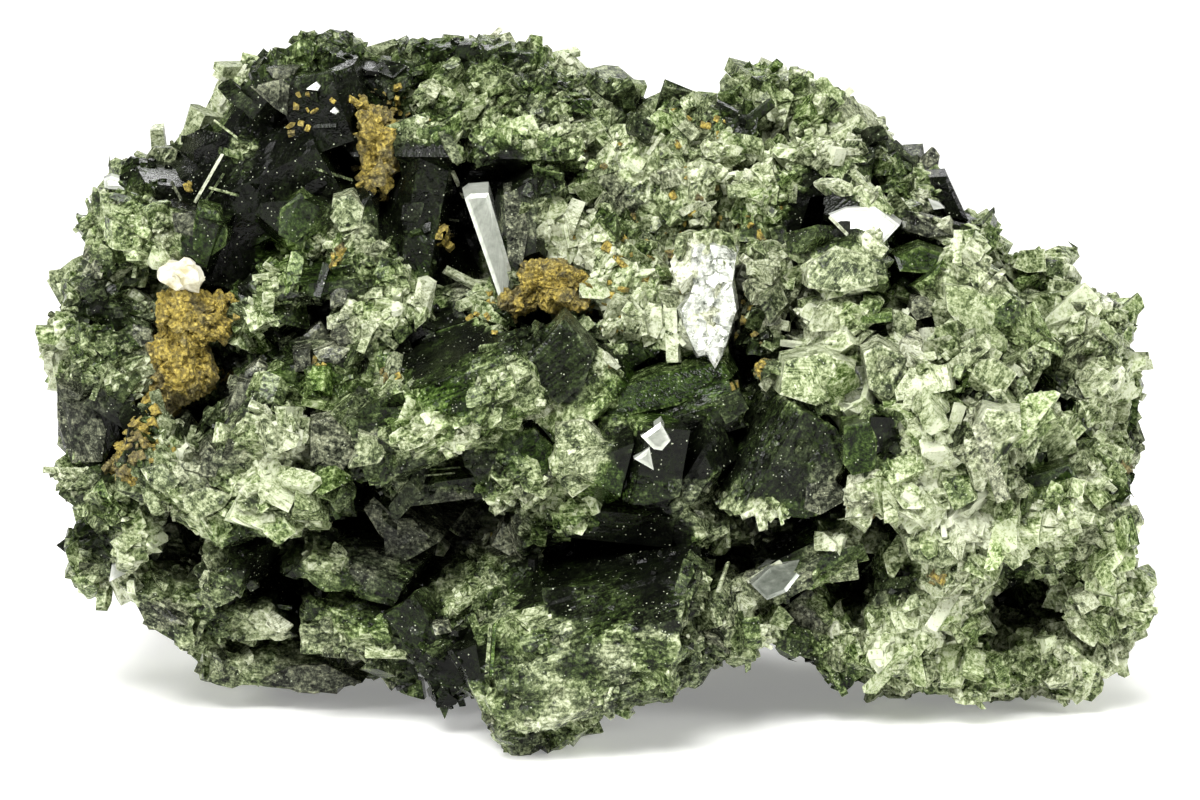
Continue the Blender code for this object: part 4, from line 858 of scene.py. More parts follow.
def scattered(name, spots, shapes, sizes, rng, sink, lean):
    """Pieces set into the skin at the spots, all in one mesh: no two of the same size, tilt or tone. Neighbours
    within 4 mm keep about the same cleavage direction."""
    points, normals, looks, closed = spots
    count = len(points)
    bedding = cells(points, 4.0, 21)[1]
    axis = normals + 0.7 * (bedding[:, 1:4] - 0.5) + rng.normal(0, lean, (count, 3))
    turn = turns(axis, bedding[:, 0] * 2 * math.pi + rng.normal(0, 0.35, count))
    scale = sizes[:, None] * rng.uniform(0.8, 1.25, (count, 3))
    which = rng.integers(0, len(shapes), count)
    own = rng.uniform(-1, 1, (count, 3))
    vertices, faces, values, start = [], [], [], 0
    for kind, (shape, triangles, on_edge) in enumerate(shapes):
        pick = np.flatnonzero(which == kind)
        local = shape[None] * scale[pick, None, :]
        centre = points[pick] + normals[pick] * (sizes[pick] * sink)[:, None]
        placed = np.einsum("kij,kvj->kvi", turn[pick], local) + centre[:, None, :]
        inside = ((placed > LOW + 0.02) & (placed < HIGH - 0.02)).all((1, 2))
        pick, placed = pick[inside], placed[inside]
        wide = placed.shape[1]
        # Painted light and shade on each piece: paler where it stands out from the skin and darker at its root, a
        # painted highlight that makes its own edges paler and less green, and the skin's recess shade, less on its
        # raised parts.
        level = ((placed - points[pick, None]) * normals[pick, None]).sum(2) / sizes[pick, None]
        crushed = np.clip((looks[pick, None, 1] - 0.15) / 0.4, 0.2, 1)
        rim = on_edge[None] * 0.13 * crushed
        tone = looks[pick, None, 0] - 0.03 + own[pick, None, 0] * CONTRAST
        tone = tone + np.clip(level, -0.5, 0.6) * 0.14 * crushed + rim
        rough = np.clip(looks[pick, None, 1] * 0.55 + own[pick, None, 1] * 0.2, 0.05, 1) + 0 * level
        green = np.clip(looks[pick, None, 2] + own[pick, None, 2] * 0.18 - rim, 0, 1) + 0 * level
        recess_shade = closed[pick, None] * (0.9 - 0.5 * np.clip(level, 0, 1))
        values.append(np.stack((tone, rough, green, recess_shade), 2).reshape(-1, 4))
        faces.append((triangles[None] + (start + np.arange(len(pick)) * wide)[:, None, None]).reshape(-1, 3))
        vertices.append(placed.reshape(-1, 3))
        start += len(pick) * wide
    placed = np.concatenate(vertices)
    obj = mesh_object(name, placed * MM, np.concatenate(faces))
    for column, label in enumerate(("tone", "rough", "green", "recess_shade")):
        give(obj, label, np.concatenate(values)[:, column])
    give_direction(obj, "along", runs_at(placed))
    return obj


def covered(points):
    """True where a face given one by one already stands in front."""
    where = plane_of(points)
    found = np.zeros(len(points), bool)
    for row in PLATES + MIRRORS + CLEAVAGE:
        middle = np.mean(row[-1], 0)
        corners = [tuple(middle + (np.array(corner) - middle) * 1.3) for corner in row[-1]]
        inside = np.zeros(len(points), bool)
        for (x0, y0), (x1, y1) in zip(corners, corners[1:] + corners[:1]):
            crosses = (y0 > where[:, 1]) != (y1 > where[:, 1])
            inside ^= crosses & (where[:, 0] < x0 + (where[:, 1] - y0) * (x1 - x0) / (y1 - y0 + 1e-9))
        found |= inside
    for start, end, _, _ in NEEDLES:
        along = np.array(end) - start
        share = np.clip(((where - start) @ along) / (along @ along), 0, 1)
        found |= np.hypot(*(where - start - share[:, None] * along).T) < 0.7
    return found & (points[:, 1] < 6)


def spots_on(obj, count, weight, rng):
    """Places on the skin, picked by area and weight, with the normal, looks and closeness there."""
    mesh = obj.data
    area = numbers_of(mesh.polygons, "area", 1)
    middle = numbers_of(mesh.polygons, "center", 3) / MM
    normal = numbers_of(mesh.polygons, "normal", 3)
    corners = numbers_of(mesh.polygons, "vertices", 3, int)
    fields = []
    for label in ("tone", "rough", "green", "recess_shade", "shown"):
        values = np.zeros(len(mesh.vertices), np.float32)
        mesh.attributes[label].data.foreach_get("value", values)
        fields.append(values[corners].mean(1))
    tone, rough, green, recess_shade, shown = fields
    chance = area * weight(middle, normal, tone, rough, recess_shade, shown) * ~covered(middle) * breaks_at(middle)[:, 0]
    pick = rng.choice(len(area), count, replace=False, p=chance / chance.sum())
    return middle[pick], normal[pick], np.stack((tone, rough, green), 1)[pick], recess_shade[pick]


# Faces that stand out, as the eye meets them: kind, how far each face tips (away to the right, away upwards),
# thickness, and its corners, across and up.
PLATES = [
    # upper left
    ("slate", 0.0, 0.1, 3.0, [(-24.4, 43.6), (-22.2, 44.1), (-21.6, 43.7), (-21.8, 41.5), (-22.6, 42.0)]),
    ("slate", 0.1, 0.4, 2.0, [(-23.3, 44.9), (-21.0, 44.9), (-21.6, 44.0), (-22.8, 44.2)]),
    ("slate", 0.2, 0.1, 2.5, [(-30.0, 34.5), (-28.6, 34.6), (-28.1, 33.9), (-28.4, 32.9), (-29.8, 33.2)]),
    ("glass", 0.4, 0.0, 3.0,
     [(-28.2, 35.0), (-26.8, 34.7), (-26.0, 33.2), (-26.2, 32.2), (-27.6, 31.2), (-28.5, 32.0), (-28.5, 33.4)]),
    ("grey", 0.0, 0.2, 2.0, [(-32.8, 26.6), (-31.6, 26.3), (-31.3, 25.4), (-32.2, 25.0), (-32.8, 25.6)]),
    ("grey", -0.3, 0.0, 1.5, [(-35.8, 30.9), (-35.3, 31.5), (-34.9, 30.4), (-35.1, 29.8)]),
    ("slate", 0.0, 0.3, 2.0, [(-18.7, 28.7), (-18.0, 29.4), (-17.4, 29.1), (-17.7, 28.0), (-18.7, 27.7)]),
    ("slate", 0.2, 0.2, 2.0, [(-20.6, 25.8), (-19.4, 26.8), (-18.8, 26.1), (-19.3, 25.3), (-20.2, 25.0)]),
    ("grey", 0.0, 0.4, 2.0, [(-19.9, 24.6), (-18.6, 25.1), (-17.2, 24.9), (-18.2, 23.8), (-19.5, 24.0)]),
    ("slate", 0.1, 0.0, 2.0, [(-21.4, 24.7), (-20.2, 24.9), (-20.0, 23.3), (-21.2, 23.2)]),
    ("glass", 0.3, 0.2, 3.0,
     [(-22.3, 34.8), (-20.8, 36.0), (-19.8, 35.2), (-20.0, 33.5), (-21.2, 32.4), (-22.4, 33.0)]),
    ("mist", -0.1, 0.2, 2.5,
     [(-18.5, 35.6), (-17.2, 35.9), (-16.3, 34.9), (-16.6, 33.5), (-18.0, 33.2), (-18.7, 34.2)]),
    # lower left
    ("slate", -0.1, 0.05, 4.0,
     [(-38.2, 22.4), (-35.5, 21.0), (-34.7, 19.0), (-35.0, 16.8), (-37.2, 16.7), (-38.2, 19.9)]),
    ("grey", 0.1, 0.2, 3.5,
     [(-20.1, 19.6), (-18.0, 20.2), (-16.7, 19.1), (-16.8, 17.5), (-17.8, 16.2), (-20.1, 16.5)]),
    ("mist", 0.45, 0.2, 3.0,
     [(-16.7, 18.9), (-15.0, 18.5), (-14.6, 17.6), (-15.2, 16.7), (-17.4, 16.3), (-16.8, 17.5)]),
    ("slate", -0.3, 0.1, 2.5,
     [(-25.3, 22.5), (-24.2, 22.4), (-24.1, 21.3), (-24.6, 20.4), (-26.0, 20.1), (-25.9, 20.9)]),
    ("grey", 0.1, 0.4, 2.0, [(-24.8, 23.2), (-23.8, 24.0), (-23.2, 23.5), (-23.6, 22.8), (-24.8, 22.6)]),
    ("mist", 0.1, 0.35, 3.0,
     [(-29.3, 14.3), (-27.6, 15.0), (-25.7, 14.4), (-26.3, 13.5), (-28.2, 12.6), (-29.1, 13.4)]),
    ("mist", -0.2, 0.2, 2.5, [(-32.3, 16.3), (-30.7, 16.6), (-29.4, 15.4), (-30.3, 14.4), (-31.5, 15.0)]),
    ("grey", 0.2, 0.1, 2.0, [(-27.5, 18.3), (-26.5, 17.1), (-26.9, 15.7), (-28.0, 15.8), (-27.9, 16.9)]),
    ("slate", -0.35, 0.1, 3.0, [(-15.6, 14.3), (-13.9, 12.7), (-13.9, 10.6), (-15.2, 11.6), (-16.3, 13.4)]),
    ("slate", 0.35, 0.2, 3.0, [(-13.9, 12.7), (-12.9, 12.8), (-11.7, 11.4), (-12.3, 10.6), (-13.9, 10.6)]),
    ("grey", 0.1, 0.3, 3.0,
     [(-10.3, 13.5), (-9.6, 13.7), (-8.3, 13.2), (-7.9, 12.1), (-9.0, 11.2), (-9.8, 11.6)]),
    ("frost", 0.0, 0.2, 1.5, [(-10.9, 11.3), (-10.2, 10.6), (-10.6, 10.0), (-11.2, 10.1)]),
    ("grey", -0.2, 0.2, 2.5, [(-6.3, 12.5), (-5.1, 11.9), (-5.1, 10.9), (-5.9, 10.1), (-7.2, 10.8)]),
    ("slate", 0.0, -0.2, 4.0,
     [(-23.4, 1.3), (-21.5, 2.2), (-19.0, 2.3), (-16.4, 1.0), (-19.8, 0.2), (-21.0, 0.3)]),
    ("grey", 0.1, 0.6, 1.5, [(-11.4, 5.1), (-10.3, 5.3), (-10.0, 4.6), (-11.2, 4.4)]),
    ("grey", 0.1, 0.8, 1.5, [(-31.6, 6.6), (-30.6, 6.5), (-29.0, 5.1), (-30.2, 5.4)]),
    # middle and crest
    ("slate", 0.0, 0.1, 3.0, [(-6.3, 36.0), (-4.9, 36.2), (-4.6, 33.0), (-5.0, 30.8), (-6.0, 31.2)]),
    ("dark", 0.1, 0.1, 3.0,
     [(-4.6, 24.0), (-2.0, 27.0), (0.2, 24.6), (-0.6, 22.2), (-2.4, 20.9), (-4.0, 22.2)]),
    ("glass", 0.1, 0.6, 3.0,
     [(0.2, 21.4), (4.8, 23.2), (9.4, 24.0), (10.0, 22.8), (6.0, 20.8), (1.4, 19.9)]),
    ("glass", 0.2, 0.2, 3.0,
     [(-6.0, 18.6), (-4.2, 19.2), (-2.8, 17.9), (-3.2, 16.0), (-5.0, 15.4), (-6.2, 16.6)]),
    ("mist", -0.2, 0.0, 3.0,
     [(-2.6, 19.4), (-0.6, 19.8), (0.9, 18.2), (0.3, 15.4), (-1.4, 14.2), (-2.6, 15.6)]),
    # right body
    ("frost", 0.1, 0.1, 1.2, [(30.9, 20.6), (31.2, 21.2), (31.7, 21.1), (31.5, 20.4)]),
    ("glass", 0.2, 0.0, 3.0,
     [(18.0, 19.3), (19.8, 19.7), (20.4, 18.3), (20.2, 16.2), (18.6, 15.8), (17.9, 16.7)]),
    ("slate", 0.2, 0.2, 2.5,
     [(15.3, 15.0), (16.8, 16.3), (18.0, 14.6), (17.9, 13.9), (16.3, 13.0), (15.2, 13.4)]),
    ("frost", -0.1, 0.2, 2.5,
     [(27.4, 18.9), (28.2, 20.6), (30.6, 20.3), (30.7, 18.6), (29.6, 17.3), (28.3, 17.9)]),
    ("frost", 0.1, 0.3, 1.4, [(28.3, 21.7), (29.2, 22.0), (30.2, 20.6), (29.2, 20.9)]),
    ("vivid", 0.0, 0.5, 1.6, [(19.0, 27.4), (21.4, 27.5), (21.5, 26.8), (19.2, 26.6)]),
    ("grey", 0.1, 0.2, 2.5,
     [(22.9, 28.3), (23.6, 28.6), (25.0, 28.4), (24.9, 27.4), (23.2, 26.9), (22.8, 27.4)]),
    ("frost", 0.1, 0.5, 1.6, [(22.4, 26.4), (24.4, 26.2), (24.7, 25.7), (23.6, 25.4), (22.4, 25.9)]),
    ("glass", 0.1, 0.6, 2.5,
     [(21.6, 31.5), (23.5, 32.2), (25.2, 31.6), (25.9, 30.5), (24.6, 30.2), (22.0, 30.4)]),
    ("mist", 0.1, 0.5, 2.5, [(28.2, 29.2), (31.0, 29.2), (32.6, 28.6), (31.4, 28.2), (28.8, 28.3)]),
    ("glass", 0.1, 0.2, 2.5, [(30.8, 15.6), (34.1, 16.6), (34.6, 15.7), (33.8, 14.8), (31.5, 14.1)]),
    ("slate", 0.1, 0.5, 2.0, [(22.2, 34.2), (23.2, 34.4), (25.6, 33.0), (24.0, 32.8), (22.1, 33.4)]),
    ("black", 0.2, 0.1, 3.0, [(24.1, 37.1), (25.4, 37.2), (26.9, 34.0), (25.4, 34.3), (24.4, 36.0)]),
    ("mist", 0.1, 0.4, 3.0,
     [(15.4, 30.8), (17.4, 32.2), (20.2, 31.4), (20.4, 29.4), (18.0, 28.9), (15.4, 29.2)]),
    ("mist", 0.1, 0.1, 3.0,
     [(19.4, 24.6), (20.6, 25.2), (22.2, 24.4), (22.4, 22.4), (21.2, 21.2), (19.8, 22.0)]),
    ("pale", 0.1, 0.2, 3.0,
     [(13.8, 24.0), (16.6, 24.6), (18.8, 23.6), (18.6, 21.8), (16.0, 20.8), (13.4, 21.6)]),
    ("pale", 0.3, 0.3, 3.0,
     [(25.2, 29.4), (27.4, 29.2), (29.6, 26.6), (29.4, 25.2), (27.4, 25.0), (25.4, 27.6)]),
    ("mist", 0.1, 0.3, 3.0,
     [(22.3, 11.4), (24.0, 12.2), (26.4, 11.6), (26.8, 9.8), (25.0, 9.2), (22.8, 9.8)]),
]
# The few faces that mirror a lamp, with their reflection painted into their colour: how bright the painted reflection
# is, then drawn as above.
MIRRORS = [
    (0.62, 0.05, 0.1, 2.4,
     [(-9.1, 35.6), (-8.7, 35.9), (-7.4, 36.0), (-5.8, 30.6), (-5.8, 29.6), (-6.3, 28.1), (-6.6, 28.4)]),
    (0.84, 0.0, 0.5, 2.4,
     [(17.0, 34.4), (18.2, 34.9), (20.2, 35.0), (22.0, 33.7), (20.8, 32.4), (18.2, 33.1)]),
    (0.62, 0.1, 0.2, 1.6, [(3.5, 18.6), (4.9, 19.6), (5.6, 18.3), (5.0, 17.6), (4.4, 17.7)]),
    (0.60, -0.1, 0.1, 1.6, [(3.0, 17.0), (4.1, 17.8), (4.4, 16.2)]),
    (0.84, 0.0, 0.3, 1.0, [(-20.4, 43.4), (-19.7, 43.9), (-19.4, 43.6), (-19.6, 43.3)]),
    (0.84, 0.0, 0.3, 1.0, [(-18.7, 41.8), (-18.4, 42.1), (-18.1, 41.8), (-18.3, 41.6)]),
    (0.76, -0.3, 0.3, 1.2, [(-34.9, 37.0), (-34.4, 37.2), (-33.4, 36.9), (-33.4, 36.2), (-34.8, 36.3)]),
    (0.80, 0.1, 0.3, 1.2, [(-34.3, 9.4), (-33.5, 9.6), (-33.3, 8.8), (-34.5, 8.2)]),
    (0.74, 0.1, 0.3, 1.0, [(24.0, 35.6), (24.8, 35.3), (25.2, 34.9), (24.4, 34.8)]),
    (0.40, 0.0, 0.1, 1.4, [(31.9, 21.9), (32.5, 22.7), (33.6, 22.1), (33.4, 21.6), (32.4, 21.3)]),
    (0.42, 0.3, 0.5, 2.5, [(11.4, 8.0), (12.7, 9.2), (14.8, 9.8), (15.0, 8.9), (13.9, 7.5), (12.5, 6.9)]),
]
# The large bright cleavage face of the crest, crinkled like foil; its brightness is a painted reflection.
CLEAVAGE = [
    (0.1, 0.1, 2.0,
     [(7.3, 32.0), (8.4, 32.3), (9.6, 32.0), (10.3, 31.4), (10.0, 29.4), (10.3, 27.6), (9.8, 25.9),
                     (9.3, 24.4), (8.8, 23.4), (8.2, 24.4), (7.6, 24.3), (7.2, 25.1), (6.7, 26.2), (6.3, 27.5),
                     (6.9, 28.4), (7.3, 29.4), (7.0, 30.6)]),
]
# Needles and bright edges: start, end, width and kind. The white ones are painted highlights along edges.
NEEDLES = [
    ((-7.55, 1.4), (-7.25, 5.3), 0.26, "mist"), ((-7.2, 1.5), (-6.95, 5.3), 0.24, "vivid"),
    ((11.1, 8.25), (13.5, 9.7), 0.30, "white"), ((-9.95, 37.5), (-9.15, 35.7), 0.22, "white"),
    ((-26.6, 42.2), (-24.7, 45.2), 0.26, "white"), ((-26.1, 42.2), (-24.4, 44.9), 0.18, "mist"),
    ((-28.4, 35.3), (-26.4, 38.8), 0.20, "white"), ((-27.6, 35.4), (-26.3, 37.4), 0.16, "mist"),
    ((-27.4, 36.4), (-25.2, 35.8), 0.18, "mist"), ((-19.7, 37.7), (-17.1, 36.9), 0.18, "mist"),
    ((-27.0, 41.2), (-25.3, 39.9), 0.16, "mist"), ((17.0, 34.3), (18.3, 33.0), 0.22, "white"),
    ((9.0, 7.6), (9.7, 9.6), 0.26, "frost"), ((28.7, 9.6), (30.2, 9.8), 0.34, "grey"),
    ((-30.9, 30.4), (-29.9, 31.4), 0.22, "white"), ((-13.4, 12.8), (-11.6, 11.4), 0.14, "mist"),
    ((-11.4, 12.9), (-9.6, 11.6), 0.14, "mist"), ((-26.2, 7.9), (-25.1, 7.1), 0.14, "grey"),
    ((-10.2, 34.1), (-9.5, 34.0), 0.16, "mist"), ((-30.0, 36.8), (-29.3, 35.5), 0.20, "grey"),
    ((-12.0, 16.2), (-9.4, 16.4), 0.12, "green"), ((-12.0, 15.8), (-9.8, 16.0), 0.12, "mist"),
]


def depth_at(tree, across, up):
    """Depth of the skin where the eye meets it at that place, or None beside the cluster."""
    ray = (seen(across, up, 0.0) - EYE).normalized()
    hit = tree.ray_cast(EYE, ray)
    return None if hit[0] is None else hit[0].y - CENTRING.y


def resting_depth(tree, corners, tip_across, tip_up):
    """Depth of a face's middle, so that the tipped face stands just clear of the skin behind it."""
    middle = (sum(c[0] for c in corners) / len(corners), sum(c[1] for c in corners) / len(corners))
    found = []
    for across, up in [*corners, middle]:
        depth = depth_at(tree, across, up)
        if depth is not None:
            found.append(depth - (across - middle[0]) * tip_across - (up - middle[1]) * tip_up)
    found.sort()
    return middle, found[len(found) // 3] - 0.25


def in_fixed_order(mesh):
    """Rebuilds a small mesh with its faces sorted by their vertices: extruding leaves them in a chance order."""
    points = [vertex.co.copy() for vertex in mesh.vertices]
    faces = sorted(tuple(face.vertices) for face in mesh.polygons)
    mesh.clear_geometry()
    mesh.from_pydata(points, [], faces)


def faced_prism(name, corners, depth, middle, tips, thick):
    """A crystal whose front is the face with these corners; the face bulges a little inside its rim, and the
    crystal widens towards its root. Returns it with 1 for each vertex on its edges and 0 inside the rim."""
    bpy.ops.object.select_all(action="DESELECT")
    bpy.ops.mesh.primitive_circle_add(vertices=len(corners), radius=1.0, fill_type="NGON")
    obj = bpy.context.active_object
    obj.name = name
    for vertex, (across, up) in zip(obj.data.vertices, corners):
        there = depth + (across - middle[0]) * tips[0] + (up - middle[1]) * tips[1]
        vertex.co = seen(across, up, there)
    centre = sum((vertex.co for vertex in obj.data.vertices), Vector()) / len(corners)
    edit_all(obj, "FACE")
    bpy.ops.mesh.inset(thickness=0.28)
    bpy.ops.transform.translate(value=(0, -0.09, 0))
    finish_edit()
    edit_all(obj, "FACE")
    bpy.ops.mesh.extrude_region_move(TRANSFORM_OT_translate={"value": (0, thick, 0)})
    bpy.ops.transform.resize(value=(1.12, 1.0, 1.12), center_override=centre + Vector((0, thick, 0)))
    finish_edit()
    edit_all(obj, "FACE")
    bpy.ops.mesh.normals_make_consistent(inside=False)
    finish_edit()
    in_fixed_order(obj.data)
    rim = np.ones(len(obj.data.vertices))
    rim[len(corners) : 2 * len(corners)] = 0
    return obj, rim


def foil_face(tree):
    tip_across, tip_up, thick, corners = CLEAVAGE[0]
    middle, depth = resting_depth(tree, corners, tip_across, tip_up)
    obj, _ = faced_prism("foil_face", corners, depth - 0.3, middle, (tip_across, tip_up), thick)
    edit_all(obj, "FACE")
    bpy.ops.mesh.quads_convert_to_tris(quad_method="BEAUTY", ngon_method="BEAUTY")
    finish_edit()
    for _ in range(4):
        edit_all(obj, "FACE")
        bpy.ops.mesh.subdivide(number_cuts=1)
        finish_edit()
    points = numbers_of(obj.data.vertices, "co", 3)
    points[:, 1] += 0.5 * tilted(points, 1.6, 41) + 0.25 * tilted(points, 0.7, 42)
    obj.data.vertices.foreach_set("co", points.astype(np.float32).ravel())
    obj.data.polygons.foreach_set("use_smooth", np.zeros(len(obj.data.polygons), bool))
    obj.data.update()
    # A pale tone on the mirror material: painted reflection of the lamps.
    set_looks(obj, (0.78, 0.9, 0.0))
    to_metres(obj)
    return obj


def set_looks(obj, looks, rim=0.0):
    """One tone, roughness and green for the piece; its rim gets a painted highlight, paler and less green, most of all
    where it is clear.
    """
    count = len(obj.data.vertices)
    tone, rough, green = (value + np.zeros(count) for value in looks)
    give(obj, "tone", tone + rim * 0.13)
    give(obj, "rough", rough)
    give(obj, "green", np.clip(green - rim * 0.15, 0, 1))
    give(obj, "recess_shade", np.zeros(count))
    give_direction(obj, "along", runs_at(numbers_of(obj.data.vertices, "co", 3)))


def to_metres(obj):
    show_only(obj)
    obj.scale = (MM, MM, MM)
    bpy.ops.object.transform_apply(location=True, rotation=True, scale=True)


def joined(name, pieces):
    bpy.ops.object.select_all(action="DESELECT")
    for piece in pieces:
        piece.select_set(True)
    bpy.context.view_layer.objects.active = pieces[0]
    bpy.ops.object.join()
    pieces[0].name = name
    return pieces[0]


def faces_from(tree, name, rows, forward, looks_of):
    """A crystal for each row, its face that much in front of the skin, with the looks and the painted rim highlight of
    the row's kind.
    """
    made = []
    for kind, tip_across, tip_up, thick, corners in rows:
        middle, depth = resting_depth(tree, corners, tip_across, tip_up)
        obj, rim = faced_prism("face", corners, depth - forward, middle, (tip_across, tip_up), thick)
        looks, rim_share = looks_of(kind)
        set_looks(obj, looks, rim * rim_share)
        to_metres(obj)
        made.append(obj)
    return joined(name, made)


def looks_of_kind(kind):
    return KINDS[kind], 0.2 if KINDS[kind][2] < 0.1 or kind == "black" else 1.0


def looks_of_mirror(tone):
    return (tone, 0.1, 0.0), 1.0


def needles(tree):
    made = []
    for start, end, width, kind in NEEDLES:
        depths = [depth_at(tree, *point) for point in (start, end)]
        known = [depth for depth in depths if depth is not None]
        low = min(known) - 0.3
        first, last = (
            seen(*point, low if depth is None else depth * 0.4 + low * 0.6) for point, depth in zip((start, end), depths)
        )
        along = last - first
        obj = start_cube("needle", (along.length, width, width))
        cut_with((along.length * 0.49, 0, 0), (1, 0.4, 0.5))
        cut_with((0, width * 0.25, width * 0.25), (0, 1, 1))
        bpy.ops.mesh.select_all(action="SELECT")
        finish_edit()
        obj.data.transform(Matrix.Translation((first + last) / 2) @ along.to_track_quat("X", "Z").to_matrix().to_4x4())
        set_looks(obj, KINDS[kind])
        to_metres(obj)
        made.append(obj)
    return joined("needles", made)


def small_mineral(node, name, rounds, heights, swell):
    """A crust or a chip over its solid: broken by flat grains of each size and height, and swollen to the front."""
    obj = bpy.data.objects.new(name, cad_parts[node].data.copy())
    bpy.context.scene.collection.objects.link(obj)
    edit(obj)
    bpy.ops.mesh.select_all(action="SELECT")
    bpy.ops.mesh.remove_doubles(threshold=1e-7)
    for _ in range(rounds):
        bpy.ops.mesh.select_all(action="SELECT")
        bpy.ops.mesh.subdivide(number_cuts=1)
    bpy.ops.mesh.quads_convert_to_tris(quad_method="BEAUTY", ngon_method="BEAUTY")
    finish_edit()
    points = numbers_of(obj.data.vertices, "co", 3) / MM
    normals = skin_normals(obj.data)
    lift = sum(height * tilted(points, size, 31 + i) for i, (size, height) in enumerate(heights))
    front = np.clip(-normals[:, 1] + 0.3, 0, 1)
    moved = points + normals * (lift * (0.3 + 0.7 * front) + swell * front)[:, None]
    obj.data.vertices.foreach_set("co", (moved * MM).astype(np.float32).ravel())
    obj.data.polygons.foreach_set("use_smooth", np.zeros(len(obj.data.polygons), bool))
    obj.data.update()
    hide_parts(node)
    return obj


# Where ochre grains lie on the crystals: across, up, radius and how many of them.
OCHRE = [
    (-30.6, 27.2, 1.0, 3), (-26.4, 27.6, 0.9, 3), (-30.8, 23.0, 1.0, 3), (-27.0, 23.0, 1.0, 3), (-31.6, 19.0, 1.0, 3),
    (-32.6, 17.4, 1.2, 5), (-33.4, 15.8, 0.8, 3), (-29.2, 29.2, 0.8, 2), (-18.2, 31.6, 0.6, 2), (-29.0, 36.0, 0.4, 1),
    (-21.0, 42.4, 1.2, 4), (-15.0, 42.0, 1.4, 4), (-16.4, 37.0, 1.0, 3), (-10.4, 33.2, 0.7, 2), (-7.0, 27.6, 1.0, 4),
    (-1.0, 28.4, 0.8, 3), (-4.4, 30.4, 0.8, 2), (9.8, 23.0, 0.5, 3), (11.8, 23.6, 0.5, 2), (24.4, 8.2, 0.5, 4),
    (-7.0, 11.2, 0.4, 2), (-14.4, 23.0, 0.4, 1), (-19.4, 23.6, 0.3, 1), (7.0, 38.0, 4.0, 6), (4.0, 33.0, 5.0, 8),
    (2.0, 29.0, 3.5, 5), (9.5, 31.5, 3.0, 4), (10.5, 26.5, 1.5, 2), (38.0, 16.0, 0.5, 1), (19.6, 13.4, 0.4, 1),
]


def ochre_weight(at):
    where = plane_of(at)
    return sum(share / radius**2 * np.exp(-((where[:, 0] - across) ** 2 + (where[:, 1] - up) ** 2) / radius**2)
               for across, up, radius, share in OCHRE)


# ---------------------------------------------------------------- build

rng = np.random.default_rng(7)
epidote = broken_epidote()
limonite = earthy_limonite()
bright = mirror_cleavage()
chalk = waxy_white_chip()

body, skin = grown_body()
finished(body, "epidote", epidote)
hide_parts("epidote_cluster")

blocks, plain_blocks = broken_shapes(BLOCKS, rng, 0.12), broken_shapes(BLOCKS, rng)
chips, crumbs = broken_shapes(CHIPS, rng), broken_shapes(CRUMBS, rng)


def breaks_at(at):
    """Share of loose pieces and their size at many points. Few lie on the top, which keeps its jagged line."""
    where, rows = plane_of(at), np.array(BREAKS)
    far = np.hypot(where[:, 0, None] - rows[:, 0], where[:, 1, None] - rows[:, 1]) / rows[:, 2]
    found = np.where((far.min(1) < 1.15)[:, None], rows[far.argmin(1), 3:], (0.75, 1.0))
    found = np.where((at[:, 1] > 6)[:, None], (1.0, 1.0), found)
    found[:, 0] *= np.where(at[:, 2] > 44.0, 0.35, 1.0)
    return found


def strew(
    name, shapes, count, median, spread, least, most, sink, lean, weight, slot="epidote", material=epidote
):
    """Broken pieces of one kind over the body, by that weight."""
    spots = spots_on(body, count, weight, rng)
    sizes = np.clip(rng.lognormal(math.log(median), spread, count), least, most) * breaks_at(spots[0])[:, 1]
    return finished(scattered(name, spots, shapes, sizes, rng, sink, lean), slot, material)


strew("blocks_front", blocks, 1350, 1.05, 0.34, 0.7, 1.55, -0.3, 0.1,
      lambda at, way, tone, rough, closed, shown: (shown > 1.2) * np.clip(rough - 0.15, 0.01, 1) * (1.1 - closed))
strew("chips_front", chips, 4300, 0.6, 0.42, 0.3, 1.7, 0.0, 0.3,
      lambda at, way, tone, rough, closed, shown: (shown > 1.2) * np.clip(rough - 0.1, 0.03, 1) * (1.2 - closed))
strew("blocks_back", plain_blocks, 1800, 1.45, 0.4, 0.8, 2.5, -0.15, 0.15,
      lambda at, way, tone, rough, closed, shown: (shown > 0.4) * (at[:, 1] > 4) * np.clip(rough, 0.1, 1))
strew("chips_back", chips, 2800, 0.95, 0.45, 0.4, 2.4, 0.0, 0.3,
      lambda at, way, tone, rough, closed, shown: (shown > 0.4) * (at[:, 1] > 2) * (0.15 + rough))
strew("crumbs", crumbs, 10000, 0.32, 0.35, 0.16, 0.7, 0.1, 0.5,
      lambda at, way, tone, rough, closed, shown: (shown > 0.9) * (0.06 + rough))

finished(faces_from(skin, "crystal_faces", PLATES, 0.0, looks_of_kind), "epidote", epidote)
finished(faces_from(skin, "mirror_faces", MIRRORS, 0.3, looks_of_mirror), "epidote", bright)
finished(foil_face(skin), "epidote", bright)
finished(needles(skin), "epidote", epidote)
strew("ochre_grains", crumbs, 620, 0.42, 0.35, 0.2, 0.9, 0.15, 0.8,
      lambda at, way, tone, rough, closed, shown: (shown > 1.2) * ochre_weight(at), "limonite", limonite)
for node in ("limonite_left", "limonite_lower_left", "limonite_middle", "limonite_upper"):
    rounds = 4 if node == "limonite_lower_left" else 3
    heights = ((2.6, 1.1), (1.3, 0.6), (0.6, 0.35), (0.33, 0.3))
    finished(small_mineral(node, node + "_crust", rounds, heights, 0.0), "limonite", limonite)
cleaved = small_mineral("white_chip", "white_chip_cleavage", 2, ((1.9, 0.9), (0.9, 0.3)), 0.15)
finished(cleaved, "white_mineral", chalk)

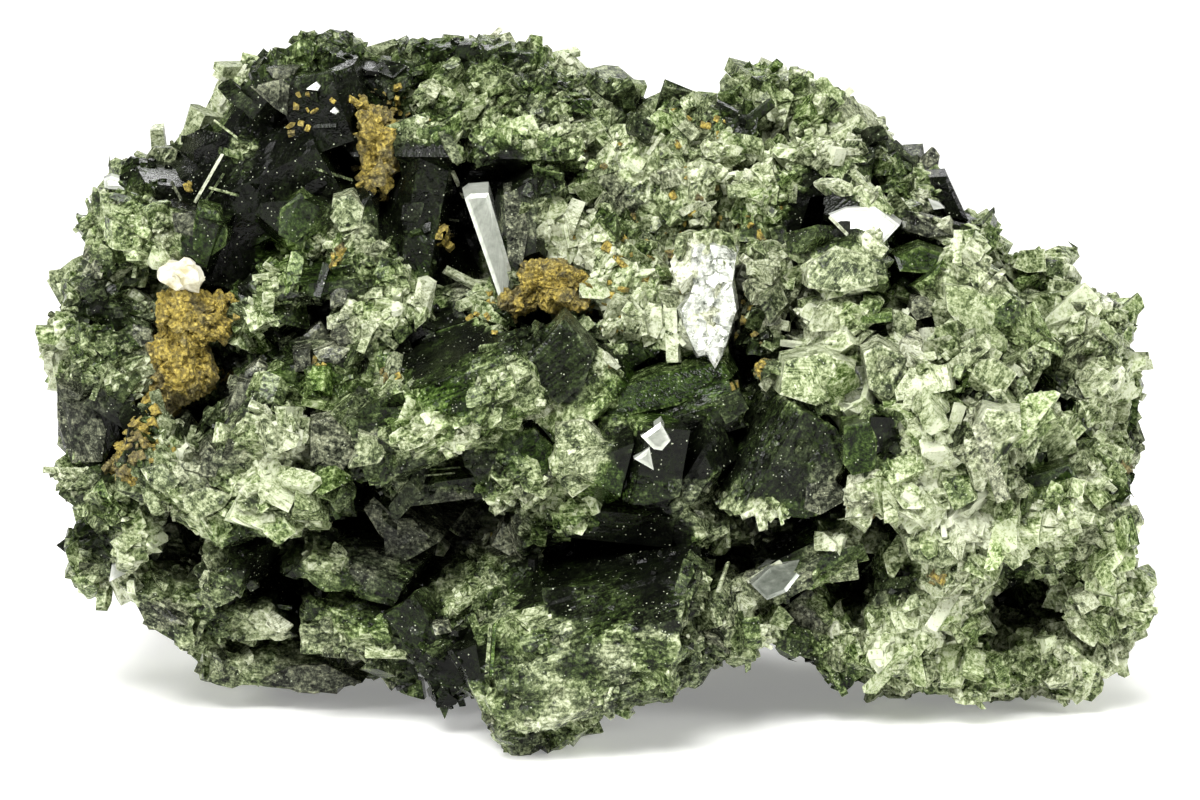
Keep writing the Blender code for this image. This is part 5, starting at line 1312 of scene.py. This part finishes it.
# ---------------------------------------------------------------- floor, lights, camera


def floor():
    bpy.ops.object.select_all(action="DESELECT")
    bpy.ops.mesh.primitive_plane_add(size=6.0, location=(0, 1.5, -0.00002))
    obj = bpy.context.active_object
    obj.name = "floor"
    bpy.ops.object.transform_apply(location=True, rotation=True, scale=True)
    obj.data.materials.append(matt_white_board())


def softbox(name, place, aim, width, height, power):
    light = bpy.data.lights.new(name, "AREA")
    light.shape = "RECTANGLE"
    light.size, light.size_y = width, height
    light.energy = power
    obj = bpy.data.objects.new(name, light)
    obj.location = place
    obj.rotation_euler = (Vector(aim) - Vector(place)).to_track_quat("-Z", "Y").to_euler()
    bpy.context.scene.collection.objects.link(obj)


def camera():
    data = bpy.data.cameras.new("camera")
    data.sensor_width = 36.0
    data.lens = data.sensor_width * VIEW_DISTANCE * PIXELS_PER_MM / PICTURE_WIDTH
    data.shift_x = 0.5 - CLUSTER_MIDDLE / PICTURE_WIDTH
    data.clip_start = 0.01
    data.clip_end = 20.0
    obj = bpy.data.objects.new("camera", data)
    obj.location = EYE * MM
    target = Vector((0, 0, VIEW_MIDDLE_UP / COSINE)) + CENTRING
    obj.rotation_euler = ((target - EYE)).to_track_quat("-Z", "Y").to_euler()
    bpy.context.scene.collection.objects.link(obj)
    bpy.context.scene.camera = obj


floor()
softbox("overhead_softbox", (-0.1, -0.44, 0.54), (0, 0, 0.02), 0.36, 0.3, 7.3)
softbox("left_softbox", (-0.55, -0.42, 0.34), (0, 0, 0.02), 0.2, 0.28, 2.4)
softbox("right_softbox", (0.6, -0.36, 0.3), (0, 0, 0.02), 0.2, 0.28, 2.4)
softbox("back_softbox", (0.1, 0.9, 0.6), (0, 0.35, 0.0), 1.0, 0.4, 7.0)
world = bpy.data.worlds.new("studio")
world.use_nodes = True
world.node_tree.nodes["Background"].inputs["Color"].default_value = (1, 1, 1, 1)
world.node_tree.nodes["Background"].inputs["Strength"].default_value = 0.1
bpy.context.scene.world = world
bpy.context.scene.view_settings.view_transform = "Standard"
camera()
